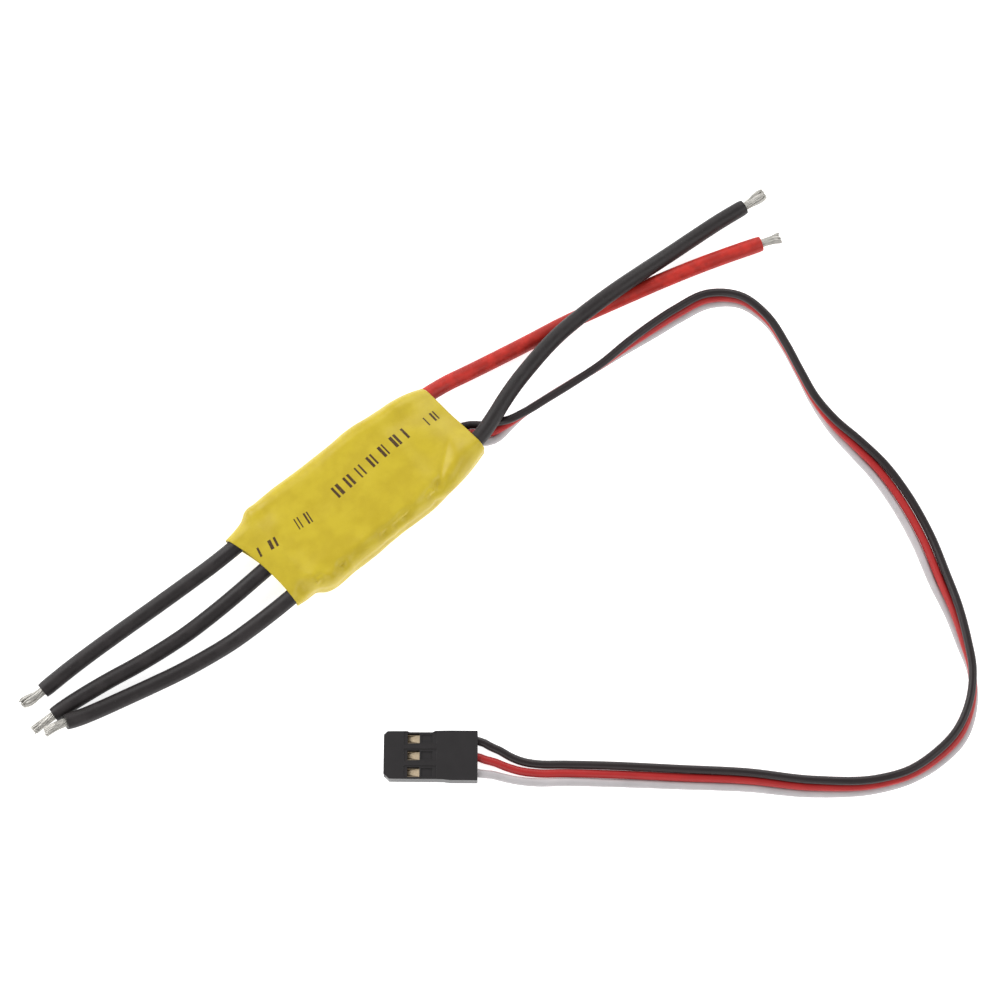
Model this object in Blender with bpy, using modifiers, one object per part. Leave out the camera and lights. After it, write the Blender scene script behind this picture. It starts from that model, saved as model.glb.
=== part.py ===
"""A brushless-motor speed controller: a populated board and a heat spreader in a
heat-shrink sleeve, three motor leads, two battery leads and a servo lead with its plug.

The frame is in metres: +X runs along the sleeve towards the battery leads, +Z is up,
and the origin is under the middle of the sleeve, on the surface that it lies on.
"""

import math

import bmesh
import bpy
import numpy as np
from mathutils import Matrix, Vector

MM = 0.001
GAP = 0.3 * MM  # between two pieces that meet face to face
CLOSE = 0.05 * MM  # between a part and the board or plate that it sits on

# The stack, from the surface up.
SLEEVE_WALL = 0.3 * MM
BOARD_UNDERSIDE = 2.75 * MM
BOARD_SIZE = Vector((26.0, 15.0, 1.0)) * MM
BOARD_TOP = BOARD_UNDERSIDE + BOARD_SIZE.z
PAD_SIZE = Vector((19.4, 13.0, 0.4)) * MM
PAD_CENTRE = Vector((-1.2, 0.0, 5.56)) * MM
SPREADER_SIZE = Vector((22.0, 14.2, 1.0)) * MM
SPREADER_CENTRE = Vector((-2.2, 0.0, 6.32)) * MM

# The sleeve's outline at places along it, in mm: where its middle is, how far it slants
# for each mm of width, its two sides, its underside, its top and its corner radius.
SLEEVE_SECTIONS = (
    (-18.66, -0.15, -7.3, 7.6, 1.3, 5.1, 1.75),
    (-16.6, -0.11, -7.4, 8.0, 0.5, 6.2, 2.2),
    (-14.6, -0.05, -7.45, 8.7, 0.0, 7.1, 2.4),
    (-12.8, 0.0, -8.35, 8.8, 0.0, 7.4, 2.4),
    (-7.0, 0.0, -8.5, 8.85, 0.0, 7.4, 2.4),
    (0.0, 0.0, -8.5, 8.9, 0.0, 7.4, 2.4),
    (6.8, 0.0, -8.45, 8.9, 0.0, 7.4, 2.4),
    (9.0, 0.0, -8.4, 8.65, 0.0, 7.4, 2.4),
    (11.0, 0.0, -8.2, 8.55, 0.0, 7.1, 2.4),
    (13.2, -0.02, -7.95, 8.5, 0.0, 6.9, 2.4),
    (15.4, -0.04, -7.5, 8.3, 0.0, 6.5, 2.3),
    (17.6, -0.06, -6.9, 8.0, 0.0, 6.1, 2.2),
    (19.24, -0.08, -6.35, 7.6, 0.0, 5.8, 2.0),
)
CORNER_STEPS = 4

# Leads. A route holds points down the middle of a lead, in mm, from its solder joint to
# where its insulation ends.
LEAD_DIAMETER = 2.5 * MM
LEAD_STEP = 2.4 * MM
STRAND_DIAMETER = 1.4 * MM
MOTOR_ROUTES = {
    "a": (
        (-13.3, 5.8, 4.3),
        (-15.6, 5.8, 3.9),
        (-18.8, 5.85, 3.2),
        (-23.6, 6.05, 2.2),
        (-28.3, 6.35, 1.6),
        (-32.8, 6.6, 1.3),
        (-37.3, 6.8, 1.28),
        (-41.8, 7.0, 1.28),
        (-46.2, 7.15, 1.28),
        (-50.6, 7.2, 1.28),
        (-55.2, 7.1, 1.28),
    ),
    "b": (
        (-13.3, 0.1, 4.3),
        (-15.6, 0.1, 3.9),
        (-18.8, 0.1, 3.2),
        (-24.0, 0.1, 2.2),
        (-28.8, 0.15, 1.6),
        (-33.3, 0.3, 1.3),
        (-37.8, 0.7, 1.28),
        (-42.3, 1.3, 1.28),
        (-46.3, 2.0, 1.28),
        (-49.8, 2.5, 1.28),
        (-53.0, 2.85, 1.28),
        (-56.2, 3.05, 1.28),
    ),
    "c": (
        (-13.3, -5.8, 4.3),
        (-15.6, -5.8, 3.9),
        (-18.8, -5.75, 3.2),
        (-24.2, -5.5, 2.2),
        (-28.7, -5.15, 1.6),
        (-33.2, -4.5, 1.3),
        (-37.7, -3.7, 1.28),
        (-42.0, -2.7, 1.28),
        (-46.4, -1.6, 1.28),
        (-50.0, -0.75, 1.55),
        (-53.0, 0.0, 2.0),
        (-55.4, 0.7, 2.75),
    ),
}
BATTERY_ROUTES = {
    "positive": (
        (13.3, 6.0, 4.4),
        (15.6, 6.1, 3.9),
        (19.2, 6.2, 2.8),
        (22.2, 6.0, 2.1),
        (26.2, 5.3, 1.55),
        (30.9, 4.4, 1.28),
        (36.4, 3.3, 1.28),
        (42.8, 2.1, 1.28),
        (48.3, 0.75, 1.28),
        (53.9, -0.7, 1.28),
        (59.9, -2.3, 1.28),
        (65.0, -3.8, 1.28),
        (70.2, -5.5, 1.28),
        (75.3, -7.3, 1.28),
    ),
    "negative": (
        (13.3, -4.6, 4.4),
        (15.8, -4.6, 4.2),
        (20.0, -4.5, 4.15),
        (24.3, -3.3, 4.25),
        (27.0, -2.3, 4.1),
        (30.2, -1.3, 3.95),
        (33.8, -0.45, 3.86),
        (37.4, 0.25, 3.86),
        (40.6, 0.65, 3.86),
        (44.0, 0.8, 3.86),
        (48.2, 0.78, 3.86),
        (52.4, 0.65, 3.7),
        (57.0, 0.5, 3.0),
        (62.4, 0.33, 1.95),
        (67.5, 0.1, 1.36),
        (72.5, -0.3, 1.28),
        (77.3, -0.9, 1.28),
    ),
}
# The tinned strands past each lead's insulation: the far tip, in mm.
TINNED_TIPS = {
    "motor_lead_a": (-58.9, 7.55, 1.3),
    "motor_lead_b": (-60.0, 3.2, 1.3),
    "motor_lead_c": (-58.8, 1.3, 3.0),
    "battery_lead_positive": (78.4, -8.5, 1.3),
    "battery_lead_negative": (81.4, -1.1, 1.2),
}

# The servo lead is a ribbon of three conductors. Its route holds the middle conductor's
# place in mm, how far the ribbon's lowest conductor is off the surface, the ribbon's
# roll in degrees (0 has ground on the left, 90 has ground on top) and its pitch in mm.
CONDUCTOR_DIAMETER = 1.2 * MM
CONDUCTOR_STEP = 3.6 * MM
CONDUCTOR_SIDES = {"ground": -1, "power": 0, "signal": 1}
RIBBON_PITCH = 1.3
PLUG_PITCH = 2.54
SERVO_ROUTE = (
    (13.3, -2.0, 1.5, 0, RIBBON_PITCH),
    (16.4, -1.95, 1.2, 0, RIBBON_PITCH),
    (19.6, -2.05, 0.5, 4, RIBBON_PITCH),
    (22.6, -4.3, 0.05, 28, RIBBON_PITCH),
    (25.5, -5.05, 0.03, 80, RIBBON_PITCH),
    (28.4, -5.25, 0.03, 102, RIBBON_PITCH),
    (32.7, -5.7, 0.03, 106, RIBBON_PITCH),
    (37.9, -6.3, 0.03, 106, RIBBON_PITCH),
    (42.6, -6.8, 0.03, 101, RIBBON_PITCH),
    (48.0, -7.1, 0.03, 83, RIBBON_PITCH),
    (52.8, -7.5, 0.03, 69, RIBBON_PITCH),
    (57.4, -8.0, 0.03, 64, RIBBON_PITCH),
    (62.7, -9.2, 0.03, 65, RIBBON_PITCH),
    (66.4, -12.5, 0.03, 80, RIBBON_PITCH),
    (67.6, -17.6, 0.03, 91, RIBBON_PITCH),
    (66.9, -22.7, 0.03, 94, RIBBON_PITCH),
    (65.7, -27.6, 0.03, 94, RIBBON_PITCH),
    (64.6, -32.2, 0.03, 89, RIBBON_PITCH),
    (64.2, -37.1, 0.03, 73, RIBBON_PITCH),
    (64.6, -42.1, 0.03, 50, RIBBON_PITCH),
    (64.9, -46.9, 0.03, 34, RIBBON_PITCH),
    (64.5, -51.9, 0.03, 23, RIBBON_PITCH),
    (62.9, -59.2, 0.03, 20, RIBBON_PITCH),
    (60.4, -66.1, 0.03, 35, RIBBON_PITCH),
    (58.7, -70.9, 0.03, 57, RIBBON_PITCH),
    (56.6, -75.5, 0.03, 74, RIBBON_PITCH),
    (54.5, -79.6, 0.03, 95, RIBBON_PITCH),
    (51.0, -83.3, 0.03, 113, RIBBON_PITCH),
    (46.7, -85.6, 0.03, 126, RIBBON_PITCH),
    (41.9, -86.1, 0.03, 124, RIBBON_PITCH),
    (36.8, -85.4, 0.03, 117, RIBBON_PITCH),
    (32.4, -83.5, 0.03, 118, RIBBON_PITCH),
    (24.5, -77.5, 0.03, 131, RIBBON_PITCH),
    (17.5, -70.4, 0.03, 142, RIBBON_PITCH),
    (10.2, -63.8, 0.03, 150, RIBBON_PITCH),
    (2.8, -57.1, 0.03, 161, RIBBON_PITCH),
    (-2.8, -52.2, 0.03, 175, RIBBON_PITCH),
    (-5.6, -49.9, 0.05, 180, 1.38),
    (-7.5, -47.9, 0.1, 180, 1.48),
    (-8.8, -46.0, 0.25, 180, 1.68),
    (-9.7, -44.4, 0.45, 180, 1.96),
    (-10.4, -43.5, 0.6, 180, 2.15),
)
# The route's last rows, inside the plug: how far from the plug's centre towards the
# lead, how far the conductors are off the surface, and their pitch, in mm.
PLUG_ENTRY = (
    (6.9, 0.7, 2.4),
    (4.6, 0.7, PLUG_PITCH),
    (2.6, 0.7, PLUG_PITCH),
)

# The servo plug lies flat. Its own +X runs from its mating end towards the lead.
PLUG_SIZE = Vector((14.0, 7.5, 2.6)) * MM
PLUG_CENTRE = Vector((-16.5, -37.8, 1.3)) * MM
PLUG_TURN = math.radians(-39.8)
PLUG_BORE = 1.7 * MM
PLUG_MOUTH = 0.9 * MM
PLUG_FRONT_WALL = 1.4 * MM
PLUG_CORNER = 0.8 * MM
WINDOW_SIZE = Vector((2.1, 1.4, 1.4)) * MM
WINDOW_AT = -2.7 * MM  # along the plug, like LATCH_AT
LATCH_SIZE = Vector((1.8, 1.1, 0.5)) * MM
LATCH_AT = -0.7 * MM
CONTACT_LENGTH = 7.6 * MM
CONTACT_SIDE = 1.3 * MM
CONTACT_BEVEL = 0.15 * MM

# Parts on the board. A body is length, width and height, a pin is width and thickness,
# and a place is the middle of the part, along and across in mm.
STANDOFF = 0.1 * MM  # of a package's body above the foot of its pins
PACKAGE_BEVEL = 0.12 * MM
PIN_INSIDE = 0.4 * MM  # how far a pin runs into its package
MOSFET_BODY = Vector((5.0, 4.0, 1.3)) * MM
MOSFET_PIN = Vector((0.42, 0.4)) * MM
MOSFET_PIN_REACH = 1.05 * MM
MOSFET_PITCH = 1.27 * MM
CHIP_BODY = Vector((7.0, 7.0, 1.0)) * MM
CHIP_PIN = Vector((0.36, 0.3)) * MM
CHIP_PIN_REACH = 0.9 * MM
CHIP_PITCH = 0.8 * MM
DRIVER_BODY = Vector((2.9, 1.4, 1.0)) * MM
DRIVER_PIN = Vector((0.42, 0.3)) * MM
DRIVER_PIN_REACH = 0.6 * MM
DRIVER_PITCH = 0.95 * MM
REGULATOR_BODY = Vector((6.1, 6.4, 2.15)) * MM
REGULATOR_BEVEL = 0.2 * MM
# The regulator's tab and legs: size and centre, with the board at z = 0.
REGULATOR_TAB = (Vector((1.6, 5.2, 0.5)) * MM, Vector((3.6, 0.0, 0.25)) * MM)
REGULATOR_LEGS = tuple(
    (Vector((3.0, 0.8, 0.5)) * MM, Vector((-4.1, y, 0.25)) * MM) for y in (-2.3, 2.3)
)
# Plain blocks: size and bevel.
RESONATOR_BLOCK = (Vector((1.3, 3.2, 0.9)) * MM, 0.15 * MM)
LARGE_TANTALUM = (Vector((3.2, 6.0, 2.0)) * MM, 0.15 * MM)
SMALL_TANTALUM = (Vector((1.6, 3.2, 1.5)) * MM, 0.15 * MM)
CERAMIC_BLOCK = (Vector((2.0, 1.25, 1.1)) * MM, 0.1 * MM)
RESISTOR_BLOCK = (Vector((1.6, 0.8, 0.45)) * MM, 0.06 * MM)
SPREADER_BEVEL = 0.2 * MM
# Mounds of solder: length, width and height, and how far in from the board's end.
LEAD_SOLDER = (2.6 * MM, 2.9 * MM, 1.5 * MM)
SERVO_SOLDER = (2.0 * MM, 1.1 * MM, 1.0 * MM)
SOLDER_INSET = 1.45 * MM
MOSFET_PLACES = tuple((x, y) for y in (-3.8, 3.8) for x in (-7.6, -1.2, 5.2))
DRIVER_PLACES = {"a": (-11.0, 6.1), "b": (-7.2, 6.1), "c": (-3.4, 6.1)}
REGULATOR_PLACES = ((5.6, -3.5), (5.6, 3.7))
CERAMIC_PLACES = ((-10.6, -6.2), (-8.0, -6.2), (-5.4, -6.2), (-2.8, -6.2))
RESISTOR_PLACES = ((-0.9, -6.4), (-0.9, -5.0), (-0.9, 4.8), (-0.9, 6.2))
MICROCONTROLLER_AT = (-7.0, 0.0)
RESONATOR_AT = (-1.3, 0.0)
TANTALUM_AT = ((11.0, 0.7), (11.2, 4.4))

SHARP_ANGLE = math.radians(35)

# Each material's colour, roughness and metalness.
MATERIALS = {
    "yellow_film": ((0.62, 0.48, 0.05), 0.42, 0.0),
    "board_laminate": ((0.01, 0.12, 0.05), 0.5, 0.0),
    "aluminium_plate": ((0.75, 0.76, 0.78), 0.35, 1.0),
    "thermal_gum": ((0.42, 0.45, 0.48), 0.8, 0.0),
    "moulded_epoxy": ((0.02, 0.02, 0.022), 0.55, 0.0),
    "ceramic_body": ((0.34, 0.24, 0.15), 0.6, 0.0),
    "tantalum_case": ((0.68, 0.42, 0.05), 0.5, 0.0),
    "resonator_can": ((0.70, 0.70, 0.72), 0.3, 1.0),
    "solder": ((0.68, 0.69, 0.70), 0.3, 1.0),
    "black_silicone": ((0.02, 0.018, 0.018), 0.5, 0.0),
    "red_silicone": ((0.48, 0.02, 0.02), 0.5, 0.0),
    "tinned_strands": ((0.66, 0.65, 0.63), 0.35, 1.0),
    "black_vinyl": ((0.025, 0.02, 0.02), 0.45, 0.0),
    "red_vinyl": ((0.55, 0.03, 0.03), 0.45, 0.0),
    "white_vinyl": ((0.72, 0.70, 0.69), 0.45, 0.0),
    "plug_nylon": ((0.025, 0.022, 0.022), 0.4, 0.0),
    "gilt_contact": ((0.72, 0.55, 0.30), 0.3, 1.0),
}


def clear_scene():
    for obj in list(bpy.data.objects):
        bpy.data.objects.remove(obj)


def new_collection(name):
    collection = bpy.data.collections.new(name)
    bpy.context.scene.collection.children.link(collection)
    return collection


def make_material(name):
    color, roughness, metallic = MATERIALS[name]
    material = bpy.data.materials.new(name)
    material.use_nodes = True
    shader = material.node_tree.nodes["Principled BSDF"]
    shader.inputs["Base Color"].default_value = (*color, 1.0)
    shader.inputs["Roughness"].default_value = roughness
    shader.inputs["Metallic"].default_value = metallic
    return material


def add_node(name, data, material, location=(0.0, 0.0, 0.0), rotation=(0.0, 0.0, 0.0)):
    """Puts one piece of the controller in the scene."""
    obj = bpy.data.objects.new(name, data)
    obj.location = location
    obj.rotation_euler = rotation
    if not data.materials:
        data.materials.append(bpy.data.materials.get(material) or make_material(material))
    bpy.data.collections["speed_controller"].objects.link(obj)
    return obj


def finished(shape, name):
    """A mesh from a bmesh, with its faces pointing out."""
    bmesh.ops.recalc_face_normals(shape, faces=shape.faces)
    mesh = bpy.data.meshes.new(name)
    shape.to_mesh(mesh)
    shape.free()
    return mesh


def block_mesh(name, size, bevel=0.0):
    """A box about the origin, with its edges rounded off."""
    shape = bmesh.new()
    bmesh.ops.create_cube(shape, size=1.0, matrix=Matrix.Diagonal((*size, 1.0)))
    if bevel:
        bmesh.ops.bevel(
            shape, geom=shape.edges[:], offset=bevel, segments=1, profile=0.5, affect="EDGES"
        )
    return finished(shape, name)


def boxes_mesh(name, boxes):
    """Separate boxes in one mesh, each given by its size and its centre."""
    shape = bmesh.new()
    for size, centre in boxes:
        placed = Matrix.Translation(centre) @ Matrix.Diagonal((*size, 1.0))
        bmesh.ops.create_cube(shape, size=1.0, matrix=placed)
    return finished(shape, name)


def combined(name, base, other, operation):
    """One mesh: base joined with, or cut by, the other mesh."""
    helpers = bpy.data.collections["helpers"]
    body = bpy.data.objects.new(name + "_body", base)
    tool = bpy.data.objects.new(name + "_tool", other)
    for obj in (body, tool):
        obj.hide_render = True
        obj.display_type = "WIRE"
        helpers.objects.link(obj)
    modifier = body.modifiers.new("combine", "BOOLEAN")
    modifier.operation = operation
    modifier.solver = "EXACT"
    modifier.object = tool
    graph = bpy.context.evaluated_depsgraph_get()
    mesh = bpy.data.meshes.new_from_object(body.evaluated_get(graph))
    mesh.name = name
    for obj in (body, tool):
        bpy.data.objects.remove(obj)
    return mesh


def smooth_line(route, step):
    """Rows about one step apart on the smooth curve through the route's rows. Each row
    starts with a place, and anything after it is carried along smoothly."""
    rows = np.array(route, float)
    chords = np.linalg.norm(np.diff(rows[:, :3], axis=0), axis=1)
    at = np.concatenate([[0.0], np.cumsum(chords)])
    slopes = np.gradient(rows, at, axis=0)
    samples = np.linspace(0.0, at[-1], round(at[-1] / step) + 1)
    first = np.clip(np.searchsorted(at, samples, "right") - 1, 0, len(chords) - 1)
    span = chords[first][:, None]
    t = (samples - at[first])[:, None] / span
    return (
        rows[first] * (1 + 2 * t) * (1 - t) ** 2
        + rows[first + 1] * (3 - 2 * t) * t**2
        + slopes[first] * span * t * (1 - t) ** 2
        - slopes[first + 1] * span * (1 - t) * t**2
    )


def tube_curve(name, line, diameter):
    """A round tube down a line of points in metres, with its ends closed."""
    curve = bpy.data.curves.new(name, "CURVE")
    curve.dimensions = "3D"
    curve.bevel_depth = diameter / 2
    curve.bevel_resolution = 2
    curve.use_fill_caps = True
    spline = curve.splines.new("POLY")
    spline.points.add(len(line) - 1)
    for point, place in zip(spline.points, line):
        point.co = (*place, 1.0)
    return curve


def section_points(section):
    """The sleeve's rounded outline at one of its sections, in metres."""
    middle, slant, right, left, under, top, radius = section
    corners = (
        (left - radius, top - radius, 0),
        (right + radius, top - radius, 90),
        (right + radius, under + radius, 180),
        (left - radius, under + radius, 270),
    )
    points = []
    for y, z, start in corners:
        for step in range(CORNER_STEPS + 1):
            angle = math.radians(start + 90 * step / CORNER_STEPS)
            side = y + radius * math.cos(angle)
            points.append(Vector((middle + slant * side, side, z + radius * math.sin(angle))) * MM)
    return points


def build_sleeve():
    """The heat-shrink tube: open at both ends, flat under the board, drawn in round the leads."""
    shape = bmesh.new()
    before = None
    for section in SLEEVE_SECTIONS:
        ring = [shape.verts.new(point) for point in section_points(section)]
        loop = [shape.edges.new((ring[i - 1], ring[i])) for i in range(len(ring))]
        if before:
            bmesh.ops.bridge_loops(shape, edges=before + loop)
        before = loop
    sleeve = add_node("heat_shrink_sleeve", finished(shape, "heat_shrink_sleeve"), "yellow_film")
    wall = sleeve.modifiers.new("wall", "SOLIDIFY")
    wall.thickness = SLEEVE_WALL
    wall.offset = -1.0
    wall.use_even_offset = True


def build_board():
    board_centre = (0.0, 0.0, BOARD_UNDERSIDE + BOARD_SIZE.z / 2)
    add_node("circuit_board", block_mesh("circuit_board", BOARD_SIZE), "board_laminate", board_centre)


def build_heat_path():
    """The gum pad over the power transistors, and the plate that spreads their heat."""
    add_node("thermal_pad", block_mesh("thermal_pad", PAD_SIZE), "thermal_gum", PAD_CENTRE)
    plate = block_mesh("heat_spreader", SPREADER_SIZE, SPREADER_BEVEL)
    add_node("heat_spreader", plate, "aluminium_plate", SPREADER_CENTRE)


def standing(mesh, height):
    """The mesh moved up so that a block about the origin stands at that height."""
    mesh.transform(Matrix.Translation((0.0, 0.0, height)))
    return mesh


def package_mesh(name, body, pins, pin_size, pin_reach):
    """A moulded package that stands on z = 0. A pin is given by the side that it leaves
    from, as an angle, and how far along that side it is."""
    shell = standing(block_mesh(name, body, PACKAGE_BEVEL), STANDOFF + body.z / 2)
    boxes = []
    for turn, along in pins:
        half = body.x / 2 if turn % 180 == 0 else body.y / 2
        middle = half + (pin_reach - PIN_INSIDE) / 2
        size = Vector((pin_reach + PIN_INSIDE, pin_size.x, pin_size.y))
        if turn % 180:
            size.x, size.y = size.y, size.x
        heading = Vector((math.cos(math.radians(turn)), math.sin(math.radians(turn)), 0.0))
        across = Vector((-heading.y, heading.x, 0.0))
        raised = Vector((0.0, 0.0, pin_size.y / 2))
        boxes.append((size, heading * middle + across * along + raised))
    return combined(name, shell, boxes_mesh(name + "_pins", boxes), "UNION")


def plain_block(name, block):
    """A plain block that stands on z = 0."""
    size, bevel = block
    return standing(block_mesh(name, size, bevel), size.z / 2)


def on_top(place):
    return (place[0] * MM, place[1] * MM, BOARD_TOP + CLOSE)


def underneath(place):
    return (place[0] * MM, place[1] * MM, BOARD_UNDERSIDE - CLOSE)


UPSIDE_DOWN = (math.pi, 0.0, 0.0)


def build_power_stage():
    """Six power transistors under the heat spreader, two for each motor phase."""
    pins = [(turn, (i - 1.5) * MOSFET_PITCH) for turn in (90, 270) for i in range(4)]
    mesh = package_mesh("power_mosfet", MOSFET_BODY, pins, MOSFET_PIN, MOSFET_PIN_REACH)
    for number, place in enumerate(MOSFET_PLACES, start=1):
        add_node(f"power_mosfet_{number}", mesh, "moulded_epoxy", on_top(place))


def build_logic():
    """The microcontroller, its resonator and the gate drivers, under the board."""
    pins = [(turn, (i - 3.5) * CHIP_PITCH) for turn in (0, 90, 180, 270) for i in range(8)]
    chip = package_mesh("microcontroller", CHIP_BODY, pins, CHIP_PIN, CHIP_PIN_REACH)
    place = underneath(MICROCONTROLLER_AT)
    add_node("microcontroller", chip, "moulded_epoxy", place, UPSIDE_DOWN)
    can = plain_block("resonator", RESONATOR_BLOCK)
    add_node("resonator", can, "resonator_can", underneath(RESONATOR_AT), UPSIDE_DOWN)
    pins = [(90, 0.0), (270, -DRIVER_PITCH), (270, DRIVER_PITCH)]
    driver = package_mesh("gate_driver", DRIVER_BODY, pins, DRIVER_PIN, DRIVER_PIN_REACH)
    for phase, place in DRIVER_PLACES.items():
        add_node(f"gate_driver_{phase}", driver, "moulded_epoxy", underneath(place), UPSIDE_DOWN)


def build_supply():
    """Two linear regulators that feed the receiver, and the input capacitors."""
    shell = block_mesh("voltage_regulator", REGULATOR_BODY, REGULATOR_BEVEL)
    shell = standing(shell, STANDOFF + REGULATOR_BODY.z / 2)
    metal = boxes_mesh("regulator_metal", (REGULATOR_TAB, *REGULATOR_LEGS))
    mesh = combined("voltage_regulator", shell, metal, "UNION")
    for number, place in enumerate(REGULATOR_PLACES, start=1):
        name = f"voltage_regulator_{number}"
        add_node(name, mesh, "moulded_epoxy", underneath(place), UPSIDE_DOWN)
    large = plain_block("input_capacitor_1", LARGE_TANTALUM)
    add_node("input_capacitor_1", large, "tantalum_case", on_top(TANTALUM_AT[0]))
    small = plain_block("input_capacitor_2", SMALL_TANTALUM)
    place = underneath(TANTALUM_AT[1])
    add_node("input_capacitor_2", small, "tantalum_case", place, UPSIDE_DOWN)


def build_chips():
    """The small ceramic capacitors and resistors under the board."""
    ceramic = plain_block("ceramic_capacitor", CERAMIC_BLOCK)
    for number, place in enumerate(CERAMIC_PLACES, start=1):
        name = f"ceramic_capacitor_{number}"
        add_node(name, ceramic, "ceramic_body", underneath(place), UPSIDE_DOWN)
    resistor = plain_block("resistor", RESISTOR_BLOCK)
    for number, place in enumerate(RESISTOR_PLACES, start=1):
        name = f"resistor_{number}"
        add_node(name, resistor, "moulded_epoxy", underneath(place), UPSIDE_DOWN)


def solder_mesh(name, length, width, height):
    """A mound of solder on z = 0."""
    shape = bmesh.new()
    bmesh.ops.create_uvsphere(shape, u_segments=12, v_segments=6, radius=1.0)
    bmesh.ops.bisect_plane(
        shape,
        geom=shape.verts[:] + shape.edges[:] + shape.faces[:],
        plane_co=(0.0, 0.0, 0.0),
        plane_no=(0.0, 0.0, -1.0),
        dist=1e-4,
        clear_outer=True,
    )
    bmesh.ops.holes_fill(shape, edges=shape.edges[:], sides=0)
    bmesh.ops.scale(shape, vec=(length / 2, width / 2, height), verts=shape.verts[:])
    return finished(shape, name)


def build_solder_joints():
    """One mound for each lead, at the board's two ends."""
    big = solder_mesh("lead_solder_joint", *LEAD_SOLDER)
    small = solder_mesh("servo_solder_joint", *SERVO_SOLDER)
    end = BOARD_SIZE.x / 2 - SOLDER_INSET
    for phase, route in MOTOR_ROUTES.items():
        place = (-end, route[0][1] * MM, BOARD_TOP + CLOSE)
        add_node(f"motor_solder_joint_{phase}", big, "solder", place)
    for pole, route in BATTERY_ROUTES.items():
        place = (end, route[0][1] * MM, BOARD_TOP + CLOSE)
        add_node(f"battery_solder_joint_{pole}", big, "solder", place)
    for wire, side in CONDUCTOR_SIDES.items():
        across = (SERVO_ROUTE[0][1] - side * RIBBON_PITCH) * MM
        place = (end, across, BOARD_UNDERSIDE - CLOSE)
        add_node(f"servo_solder_joint_{wire}", small, "solder", place, UPSIDE_DOWN)


def build_lead(name, route, material):
    """One power lead, and the tinned strands past its insulation."""
    line = smooth_line(route, LEAD_STEP / MM) * MM
    add_node(name, tube_curve(name, line, LEAD_DIAMETER), material)
    heading = Vector(line[-1] - line[-2]).normalized()
    start = Vector(line[-1]) + heading * GAP
    tip = Vector(TINNED_TIPS[name]) * MM
    bend = start + heading * (tip - start).length / 2
    strands = [start.lerp(bend, t).lerp(bend.lerp(tip, t), t) for t in (0.0, 0.33, 0.67, 1.0)]
    end_name = name + "_tinned_end"
    add_node(end_name, tube_curve(end_name, strands, STRAND_DIAMETER), "tinned_strands")


def build_power_leads():
    for phase, route in MOTOR_ROUTES.items():
        build_lead(f"motor_lead_{phase}", route, "black_silicone")
    build_lead("battery_lead_positive", BATTERY_ROUTES["positive"], "red_silicone")
    build_lead("battery_lead_negative", BATTERY_ROUTES["negative"], "black_silicone")


def plug_matrix():
    return Matrix.Translation(PLUG_CENTRE) @ Matrix.Rotation(PLUG_TURN, 4, "Z")


def conductor_line(side):
    """The points down one conductor of the servo lead, in metres."""
    rows = list(SERVO_ROUTE)
    for along, lift, pitch in PLUG_ENTRY:
        place = plug_matrix() @ Vector((along * MM, 0.0, 0.0)) / MM
        rows.append((place.x, place.y, lift, 180, pitch))
    rows = smooth_line(rows, CONDUCTOR_STEP / MM)
    x, y, lift, roll, pitch = rows.T
    roll = np.radians(roll)
    ahead = np.gradient(rows[:, :2], axis=0)
    ahead /= np.linalg.norm(ahead, axis=1)[:, None]
    across = side * pitch * np.cos(roll)
    radius = CONDUCTOR_DIAMETER / MM / 2
    height = lift + radius + pitch * np.abs(np.sin(roll)) - side * pitch * np.sin(roll)
    return np.column_stack([x + across * ahead[:, 1], y - across * ahead[:, 0], height]) * MM


def build_servo_lead():
    vinyl = {"ground": "black_vinyl", "power": "red_vinyl", "signal": "white_vinyl"}
    for wire, side in CONDUCTOR_SIDES.items():
        name = f"servo_conductor_{wire}"
        add_node(name, tube_curve(name, conductor_line(side), CONDUCTOR_DIAMETER), vinyl[wire])


def plug_cuts():
    """What is cut from the plug: for each contact a bore, its narrow mouth, a window and
    the notch of its latch."""
    half = PLUG_SIZE.x / 2
    spare = 1.0 * MM
    bore_length = PLUG_SIZE.x - PLUG_FRONT_WALL + spare
    boxes = []
    for side in CONDUCTOR_SIDES.values():
        across = side * PLUG_PITCH * MM
        bore = Vector((bore_length, PLUG_BORE, PLUG_BORE))
        boxes.append((bore, Vector((half + spare - bore_length / 2, across, 0.0))))
        mouth = Vector((PLUG_FRONT_WALL + 2 * spare, PLUG_MOUTH, PLUG_MOUTH))
        boxes.append((mouth, Vector((-half + PLUG_FRONT_WALL / 2, across, 0.0))))
        boxes.append((WINDOW_SIZE, Vector((WINDOW_AT, across, PLUG_SIZE.z / 2))))
        boxes.append((LATCH_SIZE, Vector((LATCH_AT, across, PLUG_SIZE.z / 2))))
    return boxes


def plug_blank():
    """The plug's outside: a flat block whose mating end has its corners cut off."""
    shape = bmesh.new()
    bmesh.ops.create_cube(shape, size=1.0, matrix=Matrix.Diagonal((*PLUG_SIZE, 1.0)))
    upright = []
    for edge in shape.edges:
        middle = (edge.verts[0].co + edge.verts[1].co) / 2
        if middle.x < 0 and abs(middle.z) < PLUG_SIZE.z / 4:
            if abs(middle.y) > PLUG_SIZE.y / 4:
                upright.append(edge)
    bmesh.ops.bevel(
        shape, geom=upright, offset=PLUG_CORNER, segments=1, profile=0.5, affect="EDGES"
    )
    return finished(shape, "plug_blank")


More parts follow.
